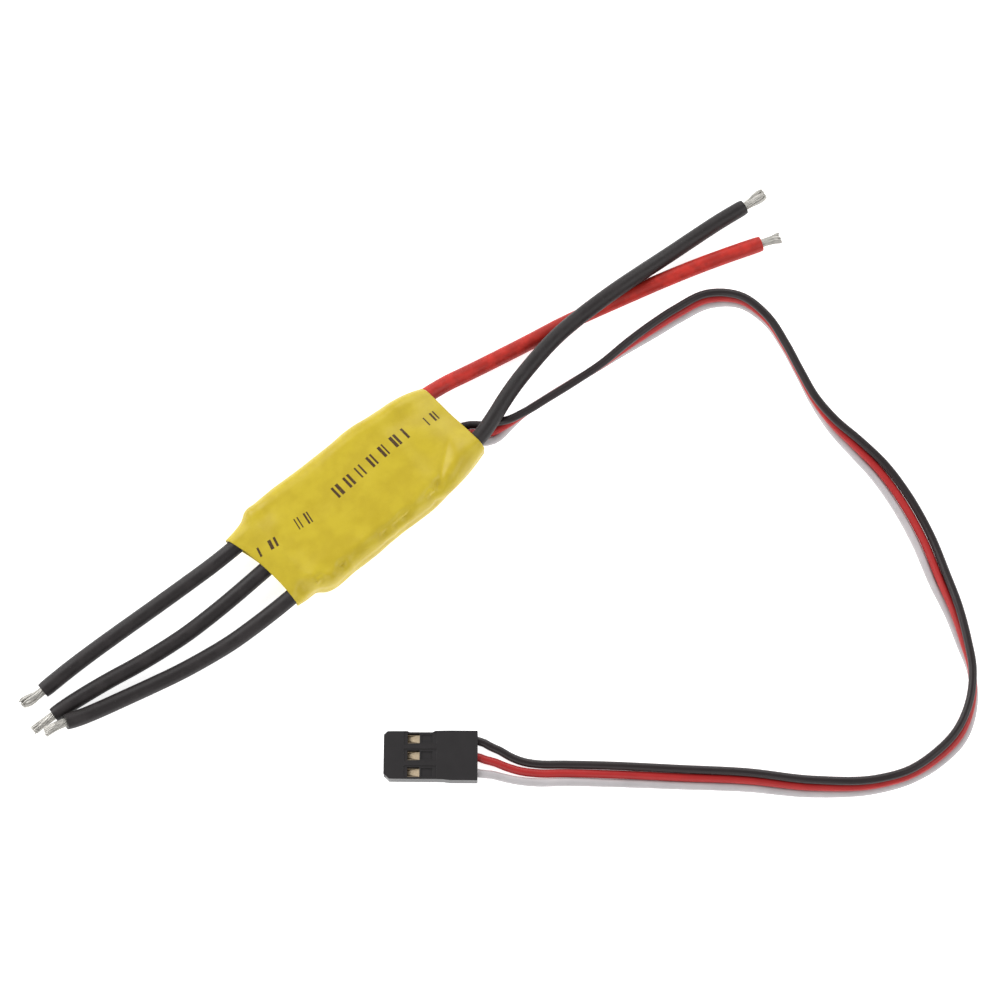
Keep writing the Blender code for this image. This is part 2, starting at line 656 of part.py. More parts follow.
def build_plug():
    """The three-way servo plug and its crimped contacts."""
    housing = plug_blank()
    for cut in plug_cuts():
        cutter = boxes_mesh("cutter", [cut])
        housing = combined("servo_plug_housing", housing, cutter, "DIFFERENCE")
    turn = (0.0, 0.0, PLUG_TURN)
    add_node("servo_plug_housing", housing, "plug_nylon", PLUG_CENTRE, turn)
    size = Vector((CONTACT_LENGTH, CONTACT_SIDE, CONTACT_SIDE))
    contact = block_mesh("crimp_contact", size, CONTACT_BEVEL)
    along = PLUG_ENTRY[-1][0] * MM - GAP - CONTACT_LENGTH / 2
    for wire, side in CONDUCTOR_SIDES.items():
        place = plug_matrix() @ Vector((along, -side * PLUG_PITCH * MM, 0.0))
        add_node(f"crimp_contact_{wire}", contact, "gilt_contact", place, turn)


def shade_smooth_round_pieces():
    for obj in bpy.data.collections["speed_controller"].objects:
        if obj.type == "MESH":
            obj.data.shade_smooth()
            obj.data.set_sharp_from_angle(angle=SHARP_ANGLE)


def main():
    clear_scene()
    new_collection("speed_controller")
    new_collection("helpers")
    build_sleeve()
    build_board()
    build_heat_path()
    build_power_stage()
    build_logic()
    build_supply()
    build_chips()
    build_solder_joints()
    build_power_leads()
    build_servo_lead()
    build_plug()
    shade_smooth_round_pieces()


main()
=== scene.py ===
"""The looks of a brushless-motor speed controller, laid out as an add-on and run as a script.

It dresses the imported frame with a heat-shrink sleeve, five silicone leads with tinned ends,
a servo lead with its plug and contacts, and finishes for the board inside. Places are in
metres; tables whose comment says so are in millimetres.
"""

import math
import random

import bmesh
import bpy
import numpy as np
from mathutils import Matrix, Vector, noise


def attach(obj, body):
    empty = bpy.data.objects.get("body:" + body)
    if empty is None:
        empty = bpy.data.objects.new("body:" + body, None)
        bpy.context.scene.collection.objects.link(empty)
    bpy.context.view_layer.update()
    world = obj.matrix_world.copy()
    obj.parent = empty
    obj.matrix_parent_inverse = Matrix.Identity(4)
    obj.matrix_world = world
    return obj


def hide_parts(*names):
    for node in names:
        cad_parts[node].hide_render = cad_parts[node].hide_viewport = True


bl_info = {
    "name": "Speed Controller Looks",
    "version": (1, 0, 0),
    "blender": (4, 5, 0),
    "location": "View3D > Sidebar > Controller",
    "description": "Builds the sleeve, leads and plug of a motor speed controller",
    "category": "Add Mesh",
}

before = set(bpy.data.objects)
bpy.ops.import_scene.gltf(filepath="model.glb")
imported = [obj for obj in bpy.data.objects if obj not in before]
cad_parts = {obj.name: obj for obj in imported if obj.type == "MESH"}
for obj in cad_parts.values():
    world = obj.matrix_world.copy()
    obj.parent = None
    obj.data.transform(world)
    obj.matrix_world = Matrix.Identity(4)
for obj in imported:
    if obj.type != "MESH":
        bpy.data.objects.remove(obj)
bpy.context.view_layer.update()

MM = 0.001
BODY = "root"
SMOOTH_ANGLE = math.radians(40)

# The camera looks steeply down on the controller from its motor side.
CAMERA_AZIMUTH = math.radians(-39.5)
CAMERA_ELEVATION = math.radians(74.0)
CAMERA_DISTANCE = 0.42735
CAMERA_TARGET = Vector((0.0171, -0.0133, 0.0))
CAMERA_LENS = 100.0
CAMERA_SENSOR = 36.0
# Soft boxes round the floor: azimuth and elevation in degrees, distance, size and share
# of the power.
SOFT_BOXES = (
    (112.0, 36.0, 0.62, 0.50, 1.25),
    (35.0, 30.0, 0.66, 0.42, 0.65),
    (-52.0, 38.0, 0.62, 0.40, 0.56),
    (-145.0, 30.0, 0.66, 0.42, 0.5),
)

# The sleeve at places along it, in mm: where its middle is, how far it slants for each mm
# of width, its two sides, its underside, its top, its corner radius, how far its top sinks
# towards both sides, and how far it drops from its right side to its left.
SLEEVE_SECTIONS = (
    (-18.66, -0.15, -7.3, 7.6, 1.3, 5.15, 1.6, 0.55, 0.0),
    (-16.6, -0.11, -7.4, 7.85, 0.5, 6.2, 2.1, 0.45, 0.0),
    (-15.3, -0.08, -7.42, 8.15, 0.2, 6.8, 2.3, 0.35, 0.0),
    (-14.5, -0.05, -7.45, 8.75, 0.0, 7.12, 2.4, 0.25, 0.0),
    (-12.8, 0.0, -8.35, 8.8, 0.0, 7.38, 2.4, 0.12, 0.0),
    (-7.0, 0.0, -8.5, 8.85, 0.0, 7.4, 2.4, 0.1, 0.0),
    (0.0, 0.0, -8.5, 8.9, 0.0, 7.4, 2.4, 0.1, 0.0),
    (6.8, 0.0, -8.45, 8.9, 0.0, 7.4, 2.4, 0.1, 0.0),
    (9.0, 0.0, -8.4, 8.65, 0.0, 7.35, 2.4, 0.15, 0.05),
    (11.0, 0.0, -8.2, 8.55, 0.0, 7.1, 2.4, 0.2, 0.15),
    (13.2, -0.02, -7.95, 8.5, 0.0, 6.9, 2.4, 0.25, 0.35),
    (15.4, -0.04, -7.5, 8.3, 0.0, 6.6, 2.3, 0.3, 0.7),
    (17.6, -0.06, -6.9, 8.0, 0.0, 6.2, 2.0, 0.35, 1.15),
    (19.24, -0.08, -6.35, 7.6, 0.0, 5.95, 1.7, 0.4, 1.5),
)
SLEEVE_ALONG = 216
SLEEVE_AROUND = 184
# Swells (and dents, where the height is below zero) in the film, in mm: along, across, how
# far each reaches along and across, and the height.
SLEEVE_SWELLS = (
    (10.2, -7.0, 0.9, 0.8, -0.5),
    (8.5, -7.7, 0.8, 0.7, -0.5),
    (5.8, -7.2, 1.1, 0.9, 0.2),
    (3.1, -7.6, 1.0, 0.6, -0.45),
    (1.4, -7.8, 0.8, 0.6, -0.36),
    (-0.9, -7.8, 0.9, 0.6, -0.4),
    (-4.2, -7.0, 1.6, 0.9, 0.14),
    (-8.9, -7.6, 0.8, 0.6, -0.55),
    (-8.1, -8.1, 0.9, 0.7, 0.3),
    (-11.0, -7.9, 1.0, 0.8, 0.35),
    (-10.9, -6.6, 1.2, 0.7, -0.2),
    (-12.8, -7.3, 0.7, 0.7, -0.45),
    (-13.8, -6.7, 0.8, 0.9, 0.3),
    (-15.5, -6.2, 0.9, 0.8, -0.36),
    (-14.9, 7.7, 1.3, 1.0, 0.28),
    (-13.2, 6.0, 1.2, 1.4, -0.16),
    (14.2, 7.2, 3.6, 1.0, 0.3),
    (12.6, 4.6, 3.2, 1.3, -0.24),
    (18.6, 1.2, 2.2, 2.2, -0.45),
    (17.8, -4.6, 2.6, 1.5, 0.16),
    (12.2, -2.6, 2.4, 2.4, -0.24),
    (-12.4, 7.3, 1.6, 1.0, 0.16),
    (4.0, 7.2, 3.6, 0.9, 0.1),
    (-4.6, 7.0, 3.0, 0.8, -0.08),
)
# The film rests on the heat spreader: the spreader's middle along, how far it reaches along
# and across inside its rounded edge, that edge's height, and how far off it the film lies.
SPREADER = (-2.2, 10.8, 6.9, 6.62)
FILM_REST = 0.52
# A crease runs across the sleeve's corner by the battery leads; its ends are in mm.
CREASE_ENDS = (Vector((15.2, -3.6)), Vector((9.6, -8.3)))
CREASE_WIDTH = 0.5
CREASE_DEPTH = 0.26
CREASE_LIFT = 0.42
FACET_WIDTH = 1.5
# Where the crease comes in and fades out, as shares of the way from its one end to the other.
CREASE_START = (-0.35, 0.1)
CREASE_FINISH = (0.9, 1.3)
# The board's edge shows through the film as a low ridge, in mm.
BOARD_EDGE_HEIGHT = 3.25
BOARD_EDGE_SPREAD = 0.6
BOARD_EDGE_REACH = (12.6, 15.0)  # it fades between these places along, either way
BOARD_EDGE_RIDGE = 0.1
# How far, in mm, the underside and the top of each end's lip bow towards the battery
# leads, and how quickly that fades.
MOTOR_LIP_BOW = (1.2, 0.65)
BATTERY_LIP_BOW = (-0.3, -0.05)
LIP_FADE = 2.4
# Slow waves in the film, in mm: how long they are and how high. Across and up they are
# shorter by the factor.
FILM_WAVES = ((6.0, 0.15), (2.1, 0.035))
WAVE_FACTOR = 1.3
UPPER_FILM = (2.6, 4.6)  # swells and the crease come in between these heights, in mm
OUTLINE_SLACK = 1e-6  # how far rounding may carry a turn past the end of a stretch
MERGE_REACH = 0.001  # how close, in mm, the seam's points are that are made one
# Printed bars on the sleeve's top, in mm: the row's middle along and across, its turn in
# degrees, its length, its height and the pitch of its bars.
PRINTED_ROWS = (
    (4.16, 2.15, 3.3, 16.4, 2.0, 0.783),
    (-8.75, 1.4, -7.0, 3.3, 1.9, 0.55),
    (-15.5, 1.8, -12.0, 4.6, 1.5, 0.95),
    (16.4, 2.2, 3.3, 1.9, 1.6, 0.63),
)
BAR_WIDTH = 0.34  # the narrowest bar, as a share of the pitch
BAR_WIDTH_SPREAD = 0.4
BAR_GROUP = 3.0  # a group has this many pitches, the last one empty
PRINT_HEIGHT = 5.0  # the print is on the film above this height, in mm

# The board's traces: their pitch along and across in mm and how much of it they fill, and
# the threads of the weave under them in a mm.
TRACE_PITCH = (1.1, 1.3)
TRACE_SHARE = 0.45
WEAVE_THREADS = 2.2

# A lead's route holds points down its middle, in mm, from its joint on the board to where
# its insulation ends.
MOTOR_ROUTES = {
    "a": (
        (-13.3, 5.8, 4.3),
        (-15.6, 5.8, 3.9),
        (-18.8, 5.85, 3.2),
        (-23.6, 6.05, 2.2),
        (-28.3, 6.35, 1.6),
        (-32.8, 6.6, 1.3),
        (-37.3, 6.8, 1.28),
        (-41.8, 7.0, 1.28),
        (-46.2, 7.15, 1.28),
        (-50.6, 7.2, 1.28),
        (-55.2, 7.1, 1.28),
    ),
    "b": (
        (-13.3, 0.1, 4.3),
        (-15.6, 0.1, 3.9),
        (-18.8, 0.1, 3.2),
        (-24.0, 0.1, 2.2),
        (-28.8, 0.15, 1.6),
        (-33.3, 0.3, 1.3),
        (-37.8, 0.7, 1.28),
        (-42.3, 1.3, 1.28),
        (-46.3, 2.0, 1.28),
        (-49.8, 2.5, 1.28),
        (-53.0, 2.85, 1.28),
        (-56.2, 3.05, 1.28),
    ),
    "c": (
        (-13.3, -5.8, 4.3),
        (-15.6, -5.8, 3.9),
        (-18.8, -5.75, 3.2),
        (-24.2, -5.5, 2.2),
        (-28.7, -5.15, 1.6),
        (-33.2, -4.5, 1.3),
        (-37.7, -3.7, 1.28),
        (-42.0, -2.7, 1.28),
        (-46.4, -1.6, 1.28),
        (-50.0, -0.75, 1.55),
        (-53.0, 0.0, 2.0),
        (-55.4, 0.7, 2.75),
    ),
}
BATTERY_ROUTES = {
    "positive": (
        (13.3, 6.0, 4.4),
        (15.6, 6.1, 3.9),
        (19.2, 6.2, 2.8),
        (22.2, 6.0, 2.1),
        (26.2, 5.3, 1.55),
        (30.9, 4.4, 1.28),
        (36.4, 3.3, 1.28),
        (42.8, 2.1, 1.28),
        (48.3, 0.75, 1.28),
        (53.9, -0.7, 1.28),
        (59.9, -2.3, 1.28),
        (65.0, -3.8, 1.28),
        (70.2, -5.5, 1.28),
        (75.3, -7.3, 1.28),
    ),
    "negative": (
        (13.3, -4.6, 4.4),
        (15.8, -4.6, 4.2),
        (20.0, -4.5, 4.15),
        (24.3, -3.3, 4.25),
        (27.0, -2.3, 4.1),
        (30.2, -1.3, 3.95),
        (33.8, -0.45, 3.86),
        (37.4, 0.25, 3.86),
        (40.6, 0.65, 3.86),
        (44.0, 0.8, 3.86),
        (48.2, 0.78, 3.86),
        (52.4, 0.65, 3.7),
        (57.0, 0.5, 3.0),
        (62.4, 0.33, 1.95),
        (67.5, 0.1, 1.36),
        (72.5, -0.3, 1.28),
        (77.3, -0.9, 1.28),
    ),
}
LEAD_STEP = 0.6
LEAD_ROUNDING = (1.0, 0.985, 0.93)  # the width of its last three rings, as shares

# How each lead's bared strands lie, in mm: the far tip, how far the bundle opens across at
# its tip and in its middle, and how far its strands stray.
TINNED_ENDS = {
    "motor_lead_a": ((-58.9, 7.55, 1.3), 0.04, 0.24, 0.08),
    "motor_lead_b": ((-60.0, 3.2, 1.3), 0.1, 0.0, 0.12),
    "motor_lead_c": ((-58.8, 1.3, 3.0), 0.08, 0.0, 0.08),
    "battery_lead_positive": ((78.4, -8.5, 1.3), 0.34, 0.0, 0.16),
    "battery_lead_negative": ((81.4, -1.1, 1.2), 0.2, 0.3, 0.08),
}
STRAND_RINGS = ((0.0, 1), (0.27, 6), (0.52, 12))  # radius in mm and number of strands
STRAND_STEPS = 12
STRAND_TWIST = 1.9
STRAND_UNTWIST = 0.6
STRAND_FLATTEN = 0.72
STRAND_SCATTER = 0.1  # how far, in radians, a strand may be off its even place
STRAND_REACH = (-0.07, 0.02)  # how far it may stop short or go on, as shares
STRAND_ROUNDING = (0.95, 0.7)  # the width of its last two rings, as shares
# How wide the solder is along the strands, as shares.
SOLDER_TAPER = ((0.0, 1.0), (0.3, 1.0), (0.55, 0.96), (0.75, 0.82), (0.88, 0.55), (0.95, 0.2))

# The servo lead is a ribbon of three conductors. Its route holds the middle conductor's
# place in mm, how far the lowest conductor is off the surface, the ribbon's roll in
# degrees (0 has ground on the left, 90 has ground on top) and its pitch in mm.
CONDUCTOR_SIDES = {"ground": -1, "power": 0, "signal": 1}
CAD_CONDUCTOR = 1.2
CONDUCTOR_STEP = 0.8
RIBBON_PITCH = 1.3
PLUG_PITCH = 2.54
SERVO_ROUTE = (
    (13.3, -2.0, 1.5, 0, RIBBON_PITCH),
    (16.4, -1.95, 1.2, 0, RIBBON_PITCH),
    (19.6, -2.05, 0.5, 4, RIBBON_PITCH),
    (22.6, -4.3, 0.05, 28, RIBBON_PITCH),
    (25.5, -5.05, 0.03, 80, RIBBON_PITCH),
    (28.4, -5.25, 0.03, 102, RIBBON_PITCH),
    (32.7, -5.7, 0.03, 106, RIBBON_PITCH),
    (37.9, -6.3, 0.03, 106, RIBBON_PITCH),
    (42.6, -6.8, 0.03, 101, RIBBON_PITCH),
    (48.0, -7.1, 0.03, 83, RIBBON_PITCH),
    (52.8, -7.5, 0.03, 69, RIBBON_PITCH),
    (57.4, -8.0, 0.03, 64, RIBBON_PITCH),
    (62.7, -9.2, 0.03, 65, RIBBON_PITCH),
    (66.4, -12.5, 0.03, 80, RIBBON_PITCH),
    (67.6, -17.6, 0.03, 91, RIBBON_PITCH),
    (66.9, -22.7, 0.03, 94, RIBBON_PITCH),
    (65.7, -27.6, 0.03, 94, RIBBON_PITCH),
    (64.6, -32.2, 0.03, 89, RIBBON_PITCH),
    (64.2, -37.1, 0.03, 73, RIBBON_PITCH),
    (64.6, -42.1, 0.03, 50, RIBBON_PITCH),
    (64.9, -46.9, 0.03, 34, RIBBON_PITCH),
    (64.5, -51.9, 0.03, 23, RIBBON_PITCH),
    (62.9, -59.2, 0.03, 20, RIBBON_PITCH),
    (60.4, -66.1, 0.03, 35, RIBBON_PITCH),
    (58.7, -70.9, 0.03, 57, RIBBON_PITCH),
    (56.6, -75.5, 0.03, 74, RIBBON_PITCH),
    (54.5, -79.6, 0.03, 95, RIBBON_PITCH),
    (51.0, -83.3, 0.03, 113, RIBBON_PITCH),
    (46.7, -85.6, 0.03, 126, RIBBON_PITCH),
    (41.9, -86.1, 0.03, 124, RIBBON_PITCH),
    (36.8, -85.4, 0.03, 117, RIBBON_PITCH),
    (32.4, -83.5, 0.03, 118, RIBBON_PITCH),
    (24.5, -77.5, 0.03, 131, RIBBON_PITCH),
    (17.5, -70.4, 0.03, 142, RIBBON_PITCH),
    (10.2, -63.8, 0.03, 150, RIBBON_PITCH),
    (2.8, -57.1, 0.03, 161, RIBBON_PITCH),
    (-2.8, -52.2, 0.03, 175, RIBBON_PITCH),
    (-5.6, -49.9, 0.05, 180, 1.38),
    (-7.5, -47.9, 0.1, 180, 1.48),
    (-8.8, -46.0, 0.25, 180, 1.68),
    (-9.7, -44.4, 0.45, 180, 1.96),
    (-10.4, -43.5, 0.6, 180, 2.15),
)
# The route's last rows, inside the plug: how far from the plug's centre towards the lead,
# how far the conductors are off the surface, and their pitch, in mm.
PLUG_ENTRY = (
    (6.9, 0.7, 2.4),
    (4.6, 0.7, PLUG_PITCH),
    (2.6, 0.7, PLUG_PITCH),
)

# The plug lies flat; its own +X runs from its mating end towards the lead. Sizes in mm.
PLUG_CENTRE = Vector((-16.5, -37.8, 1.3)) * MM
PLUG_TURN = math.radians(-39.8)
PLUG_SIZE = Vector((14.0, 7.5, 2.6))
# Places along the plug and where its two sides are there: chamfered corners at its nose, a
# shallow dip in its left side and a slightly proud grip on its right.
PLUG_OUTLINE = (
    (-7.0, 3.1, -2.85),
    (-6.45, 3.6, -3.3),
    (-6.2, 3.62, -3.58),
    (-3.5, 3.64, -3.6),
    (-3.2, 3.5, -3.6),
    (0.3, 3.5, -3.6),
    (0.7, 3.7, -3.6),
    (1.9, 3.74, -3.62),
    (2.9, 3.75, -3.75),
    (7.0, 3.75, -3.75),
)
PLUG_BORE = 1.7
PLUG_SOCKET = 0.9
PLUG_FUNNEL = 1.25
PLUG_FUNNEL_DEPTH = 0.3125
PLUG_FRONT_WALL = 1.4
PLUG_BEVEL = 0.09
WINDOW = (Vector((1.8, 1.45, 2.4)), -2.55)  # its size, and where its middle is along
LATCH = (Vector((1.7, 1.2, 0.66)), -0.57)
RECESS = (Vector((4.9, 1.95, 0.26)), -1.55)

# A contact is folded from thin strip: lengths along the plug from its centre, in mm.
CONTACT_STRIP = 0.13
CONTACT_EASE = 0.02
CONTACT_BOX = (-5.2, -0.5)
CONTACT_COVER_END = -3.95  # where the top of its box ends
CONTACT_SIDE = 1.26
LANCE = ((-3.4, 0.35, 0.55), (-1.65, 0.62, 1.25))  # along, height and width at its ends
CONTACT_NECK = (-0.5, 0.6)
CORE_CRIMP = (0.55, 1.55, 0.42)  # from, to and radius
JACKET_CRIMP = (1.7, 2.9, 0.7)
CRIMP_OPENING = math.radians(36)
CRIMP_STEPS = 22


def size_prop(name, description, default):
    """A length that the user can set, in metres."""
    return bpy.props.FloatProperty(
        name=name, description=description, default=default, min=0.0, unit="LENGTH", precision=5
    )


def colour_prop(name, description, default):
    """A colour that the user can set."""
    return bpy.props.FloatVectorProperty(
        name=name, description=description, default=default, min=0.0, max=1.0, subtype="COLOR"
    )


class StageSettings(bpy.types.PropertyGroup):
    """The floor, the light and the camera."""

    floor_size: size_prop("Floor size", "The side of the square floor", 6.0)
    floor_colour: colour_prop("Floor", "The colour of the floor", (0.9, 0.9, 0.9))
    floor_glow: bpy.props.FloatProperty(
        name="Floor glow", description="Light that the floor gives off", default=0.78, min=0.0
    )
    world_light: bpy.props.FloatProperty(
        name="World light", description="Light from all round", default=0.3, min=0.0
    )
    box_power: bpy.props.FloatProperty(
        name="Soft boxes", description="A soft box whose share is 1", default=2.4, unit="POWER"
    )


class SleeveSettings(bpy.types.PropertyGroup):
    """The heat-shrink sleeve and its print."""

    wall: size_prop("Wall", "The film's thickness", 0.25 * MM)
    film: colour_prop("Film", "The colour of the film", (0.512, 0.385, 0.019))
    film_thin: colour_prop("Thin film", "Its colour where it is stretched", (0.58, 0.45, 0.026))
    ink: colour_prop("Ink", "The colour of the printed bars", (0.065, 0.032, 0.009))


class LeadSettings(bpy.types.PropertyGroup):
    """The power leads and their tinned strands."""

    diameter: size_prop("Lead", "A lead's diameter over its insulation", 2.5 * MM)
    strand: size_prop("Strand", "The diameter of one tinned strand", 0.32 * MM)
    solder: size_prop("Solder", "The diameter of the solder that runs up the strands", 1.22 * MM)
    black: colour_prop("Black silicone", "The colour of the black leads", (0.019, 0.0155, 0.016))
    red: colour_prop("Red silicone", "The colour of the red lead", (0.45, 0.02, 0.012))
    tin: colour_prop("Tin", "The colour of the tinned strands", (0.53, 0.515, 0.48))


class ServoSettings(bpy.types.PropertyGroup):
    """The servo lead, its plug and its contacts."""

    diameter: size_prop("Conductor", "A conductor's diameter", 1.27 * MM)
    black: colour_prop("Ground", "The colour of the ground conductor", (0.019, 0.013, 0.014))
    red: colour_prop("Power", "The colour of the power conductor", (0.42, 0.02, 0.02))
    white: colour_prop("Signal", "The colour of the signal conductor", (0.5, 0.47, 0.48))
    plug: colour_prop("Plug", "The colour of the plug", (0.018, 0.016, 0.017))
    brass: colour_prop("Contacts", "The colour of the contacts", (0.72, 0.58, 0.4))


class BoardSettings(bpy.types.PropertyGroup):
    """The board and the parts in the sleeve."""

    laminate: colour_prop("Laminate", "The colour of the board", (0.01, 0.12, 0.05))
    copper: colour_prop("Traces", "The colour of the masked copper", (0.03, 0.22, 0.08))
    aluminium: colour_prop("Aluminium", "The colour of the heat spreader", (0.75, 0.76, 0.78))
    epoxy: colour_prop("Epoxy", "The colour of the moulded packages", (0.02, 0.02, 0.022))
    tantalum: colour_prop("Tantalum", "The colour of the tantalum cases", (0.68, 0.42, 0.05))
    band: colour_prop("Band", "The colour of a tantalum case's band", (0.45, 0.22, 0.03))
    gum: colour_prop("Thermal pad", "The colour of the thermal pad", (0.42, 0.45, 0.48))
    ceramic: colour_prop("Ceramic", "The colour of the ceramic capacitors", (0.34, 0.24, 0.15))
    can: colour_prop("Can", "The colour of the resonator's can", (0.7, 0.7, 0.72))
    resistor: colour_prop("Resistors", "The colour of the resistors", (0.03, 0.03, 0.035))
    solder: colour_prop("Solder", "The colour of the solder joints", (0.68, 0.69, 0.7))


class Value:
    """A socket in a finish. Arithmetic on it adds Math nodes."""

    def __init__(self, finish, socket):
        self.finish = finish
        self.socket = socket

    def math(self, operation, first, second=None):
        inputs = {0: first}
        if second is not None:
            inputs[1] = second
        return self.finish.node("ShaderNodeMath", {"operation": operation}, inputs)

    def __add__(self, other):
        return self.math("ADD", self, other)

    def __radd__(self, other):
        return self.math("ADD", other, self)

    def __sub__(self, other):
        return self.math("SUBTRACT", self, other)

    def __rsub__(self, other):
        return self.math("SUBTRACT", other, self)

    def __mul__(self, other):
        return self.math("MULTIPLY", self, other)

    def __rmul__(self, other):
        return self.math("MULTIPLY", other, self)

    def __truediv__(self, other):
        return self.math("DIVIDE", self, other)

    def __lt__(self, other):
        return self.math("LESS_THAN", self, other)

    def __gt__(self, other):
        return self.math("GREATER_THAN", self, other)

    def __abs__(self):
        return self.math("ABSOLUTE", self)

    def floor(self):
        return self.math("FLOOR", self)

    def fraction(self):
        return self.math("FRACT", self)


class Finish:
    """A material, filled in by one method for every kind of node."""

    def __init__(self, name, color, roughness, metallic=0.0):
        self.material = bpy.data.materials.new(name)
        self.material.use_nodes = True
        self.tree = self.material.node_tree
        self.shader = self.tree.nodes["Principled BSDF"]
        self.set("Base Color", color)
        self.set("Roughness", roughness)
        self.set("Metallic", metallic)

    def connect(self, value, socket):
        if isinstance(value, Value):
            self.tree.links.new(value.socket, socket)
        elif socket.type == "RGBA" and len(value) == 3:
            socket.default_value = (*value, 1.0)
        else:
            socket.default_value = value

    def set(self, name, value):
        """Puts a number, a colour or a socket on the shader."""
        self.connect(value, self.shader.inputs[name])

    def node(self, kind, settings=None, inputs=None, output=0):
        """Adds a node: its settings first, then the values or links of its sockets."""
        node = self.tree.nodes.new(kind)
        for key, value in (settings or {}).items():
            setattr(node, key, value)
        for key, value in (inputs or {}).items():
            self.connect(value, node.inputs[key])
        return Value(self, node.outputs[output])

    def place(self, stretch=(1.0, 1.0, 1.0)):
        """The place on the piece in mm, stretched along its axes."""
        coordinates = self.node("ShaderNodeTexCoord", output="Object")
        scale = tuple(factor / MM for factor in stretch)
        return self.node("ShaderNodeMapping", inputs={"Vector": coordinates, "Scale": scale})

    def axes(self):
        """The place on the piece in mm, as three numbers."""
        split = self.tree.nodes.new("ShaderNodeSeparateXYZ")
        self.connect(self.place(), split.inputs[0])
        return [Value(self, socket) for socket in split.outputs]

    def grain(self, scale, detail=2.0, stretch=(1.0, 1.0, 1.0)):
        """Noise from 0 to 1, with that many waves in a mm."""
        inputs = {"Vector": self.place(stretch), "Scale": scale, "Detail": detail}
        return self.node("ShaderNodeTexNoise", inputs=inputs)

    def ramp(self, value, low, high, to_low=0.0, to_high=1.0):
        """A smooth step from one number to another as value goes from low to high."""
        inputs = {"Value": value, 1: low, 2: high, 3: to_low, 4: to_high}
        return self.node("ShaderNodeMapRange", {"interpolation_type": "SMOOTHSTEP"}, inputs)

    def blend(self, factor, first, second):
        """A colour between two."""
        inputs = {0: factor, 6: first, 7: second}
        return self.node("ShaderNodeMix", {"data_type": "RGBA"}, inputs, output=2)

    def bump(self, height, depth):
        """Relief that deep, in mm, from a height between 0 and 1."""
        inputs = {"Height": height, "Distance": depth * MM, "Strength": 1.0}
        self.set("Normal", self.node("ShaderNodeBump", inputs=inputs))


def tinted(color, factor):
    """The colour made darker or lighter."""
    return tuple(min(1.0, channel * factor) for channel in color)


def printed_bars(finish):
    """1 where the sleeve's print is: rows of bars in groups of two, a little worn."""
    along, across, height = finish.axes()
    ink = None
    for middle, side, turn, length, tall, pitch in PRINTED_ROWS:
        cosine, sine = math.cos(math.radians(turn)), math.sin(math.radians(turn))
        run = (along - middle) * cosine + (across - side) * sine
        rise = (across - side) * cosine - (along - middle) * sine
        bar = run / pitch
        cell = bar.floor()
        chance = finish.node("ShaderNodeTexWhiteNoise", {"noise_dimensions": "1D"}, {"W": cell})
        width = chance * BAR_WIDTH_SPREAD + BAR_WIDTH
        grouped = (cell / BAR_GROUP).fraction() < 0.5
        row = (abs(cell + 0.5) < length / pitch / 2) * (abs(rise) < tall / 2)
        row = row * (bar.fraction() < width) * grouped
        ink = row if ink is None else ink + row
    worn = finish.ramp(finish.grain(6.0, 3.0), 0.24, 0.36)
    return ink * worn * (height > PRINT_HEIGHT)


def film_finish(settings):
    """Shrunk film: satin, faintly mottled, with fine lines along it and printed bars."""
    finish = Finish("yellow_film", settings.film, 0.4)
    finish.set("Specular IOR Level", 0.36)
    mottle = finish.grain(0.35, 3.0)
    cloud = finish.ramp(mottle, 0.3, 0.7)
    film = finish.blend(cloud, settings.film, settings.film_thin)
    speck = finish.ramp(finish.grain(5.0, 2.0), 0.7, 0.8, 0.0, 0.35)
    film = finish.blend(speck, film, tinted(settings.film, 0.72))
    bars = printed_bars(finish)
    finish.set("Base Color", finish.blend(bars, film, settings.ink))
    fine = finish.grain(3.2, 4.0, stretch=(0.35, 1.0, 1.0))
    finish.set("Roughness", 0.33 + fine * 0.14 + bars * 0.12)
    finish.bump(fine, 0.02)
    return finish.material


def rubber_finish(name, color, dust):
    """Silicone insulation: satin, with a fine skin, faint dust and rubbed places."""
    finish = Finish(name, color, 0.5)
    finish.set("Specular IOR Level", 0.36)
    rubbed = finish.ramp(finish.grain(0.45, 3.0), 0.42, 0.68)
    shade = finish.blend(rubbed, tinted(color, 0.86), tinted(color, 1.22))
    flecks = finish.ramp(finish.grain(4.5, 3.0), 0.66, 0.76, 0.0, dust)
    finish.set("Base Color", finish.blend(flecks, shade, (0.3, 0.28, 0.27)))
    skin = finish.grain(7.0, 3.0)
    finish.set("Roughness", 0.42 + rubbed * 0.1 + skin * 0.1)
    finish.bump(skin, 0.012)
    return finish.material


def vinyl_finish(name, color):
    """Vinyl insulation: smooth, with slow waves from its extrusion."""
    finish = Finish(name, color, 0.4)
    finish.set("Specular IOR Level", 0.36)
    slow = finish.grain(0.4, 2.0)
    finish.set("Base Color", finish.blend(slow, tinted(color, 0.85), tinted(color, 1.12)))
    finish.set("Roughness", 0.34 + slow * 0.14)
    finish.bump(finish.grain(2.4, 3.0), 0.015)
    return finish.material


def metal_finish(name, color, roughness, grain=5.0, stretch=(1.0, 1.0, 1.0)):
    """Bare metal with a fine grain, and dull and bright places."""
    finish = Finish(name, color, roughness, metallic=1.0)
    dull = finish.ramp(finish.grain(1.1, 3.0), 0.35, 0.7)
    finish.set("Base Color", finish.blend(dull, color, tinted(color, 0.78)))
    lines = finish.grain(grain, 3.0, stretch)
    finish.set("Roughness", roughness - 0.06 + dull * 0.14 + lines * 0.08)
    finish.bump(lines, 0.01)
    return finish.material


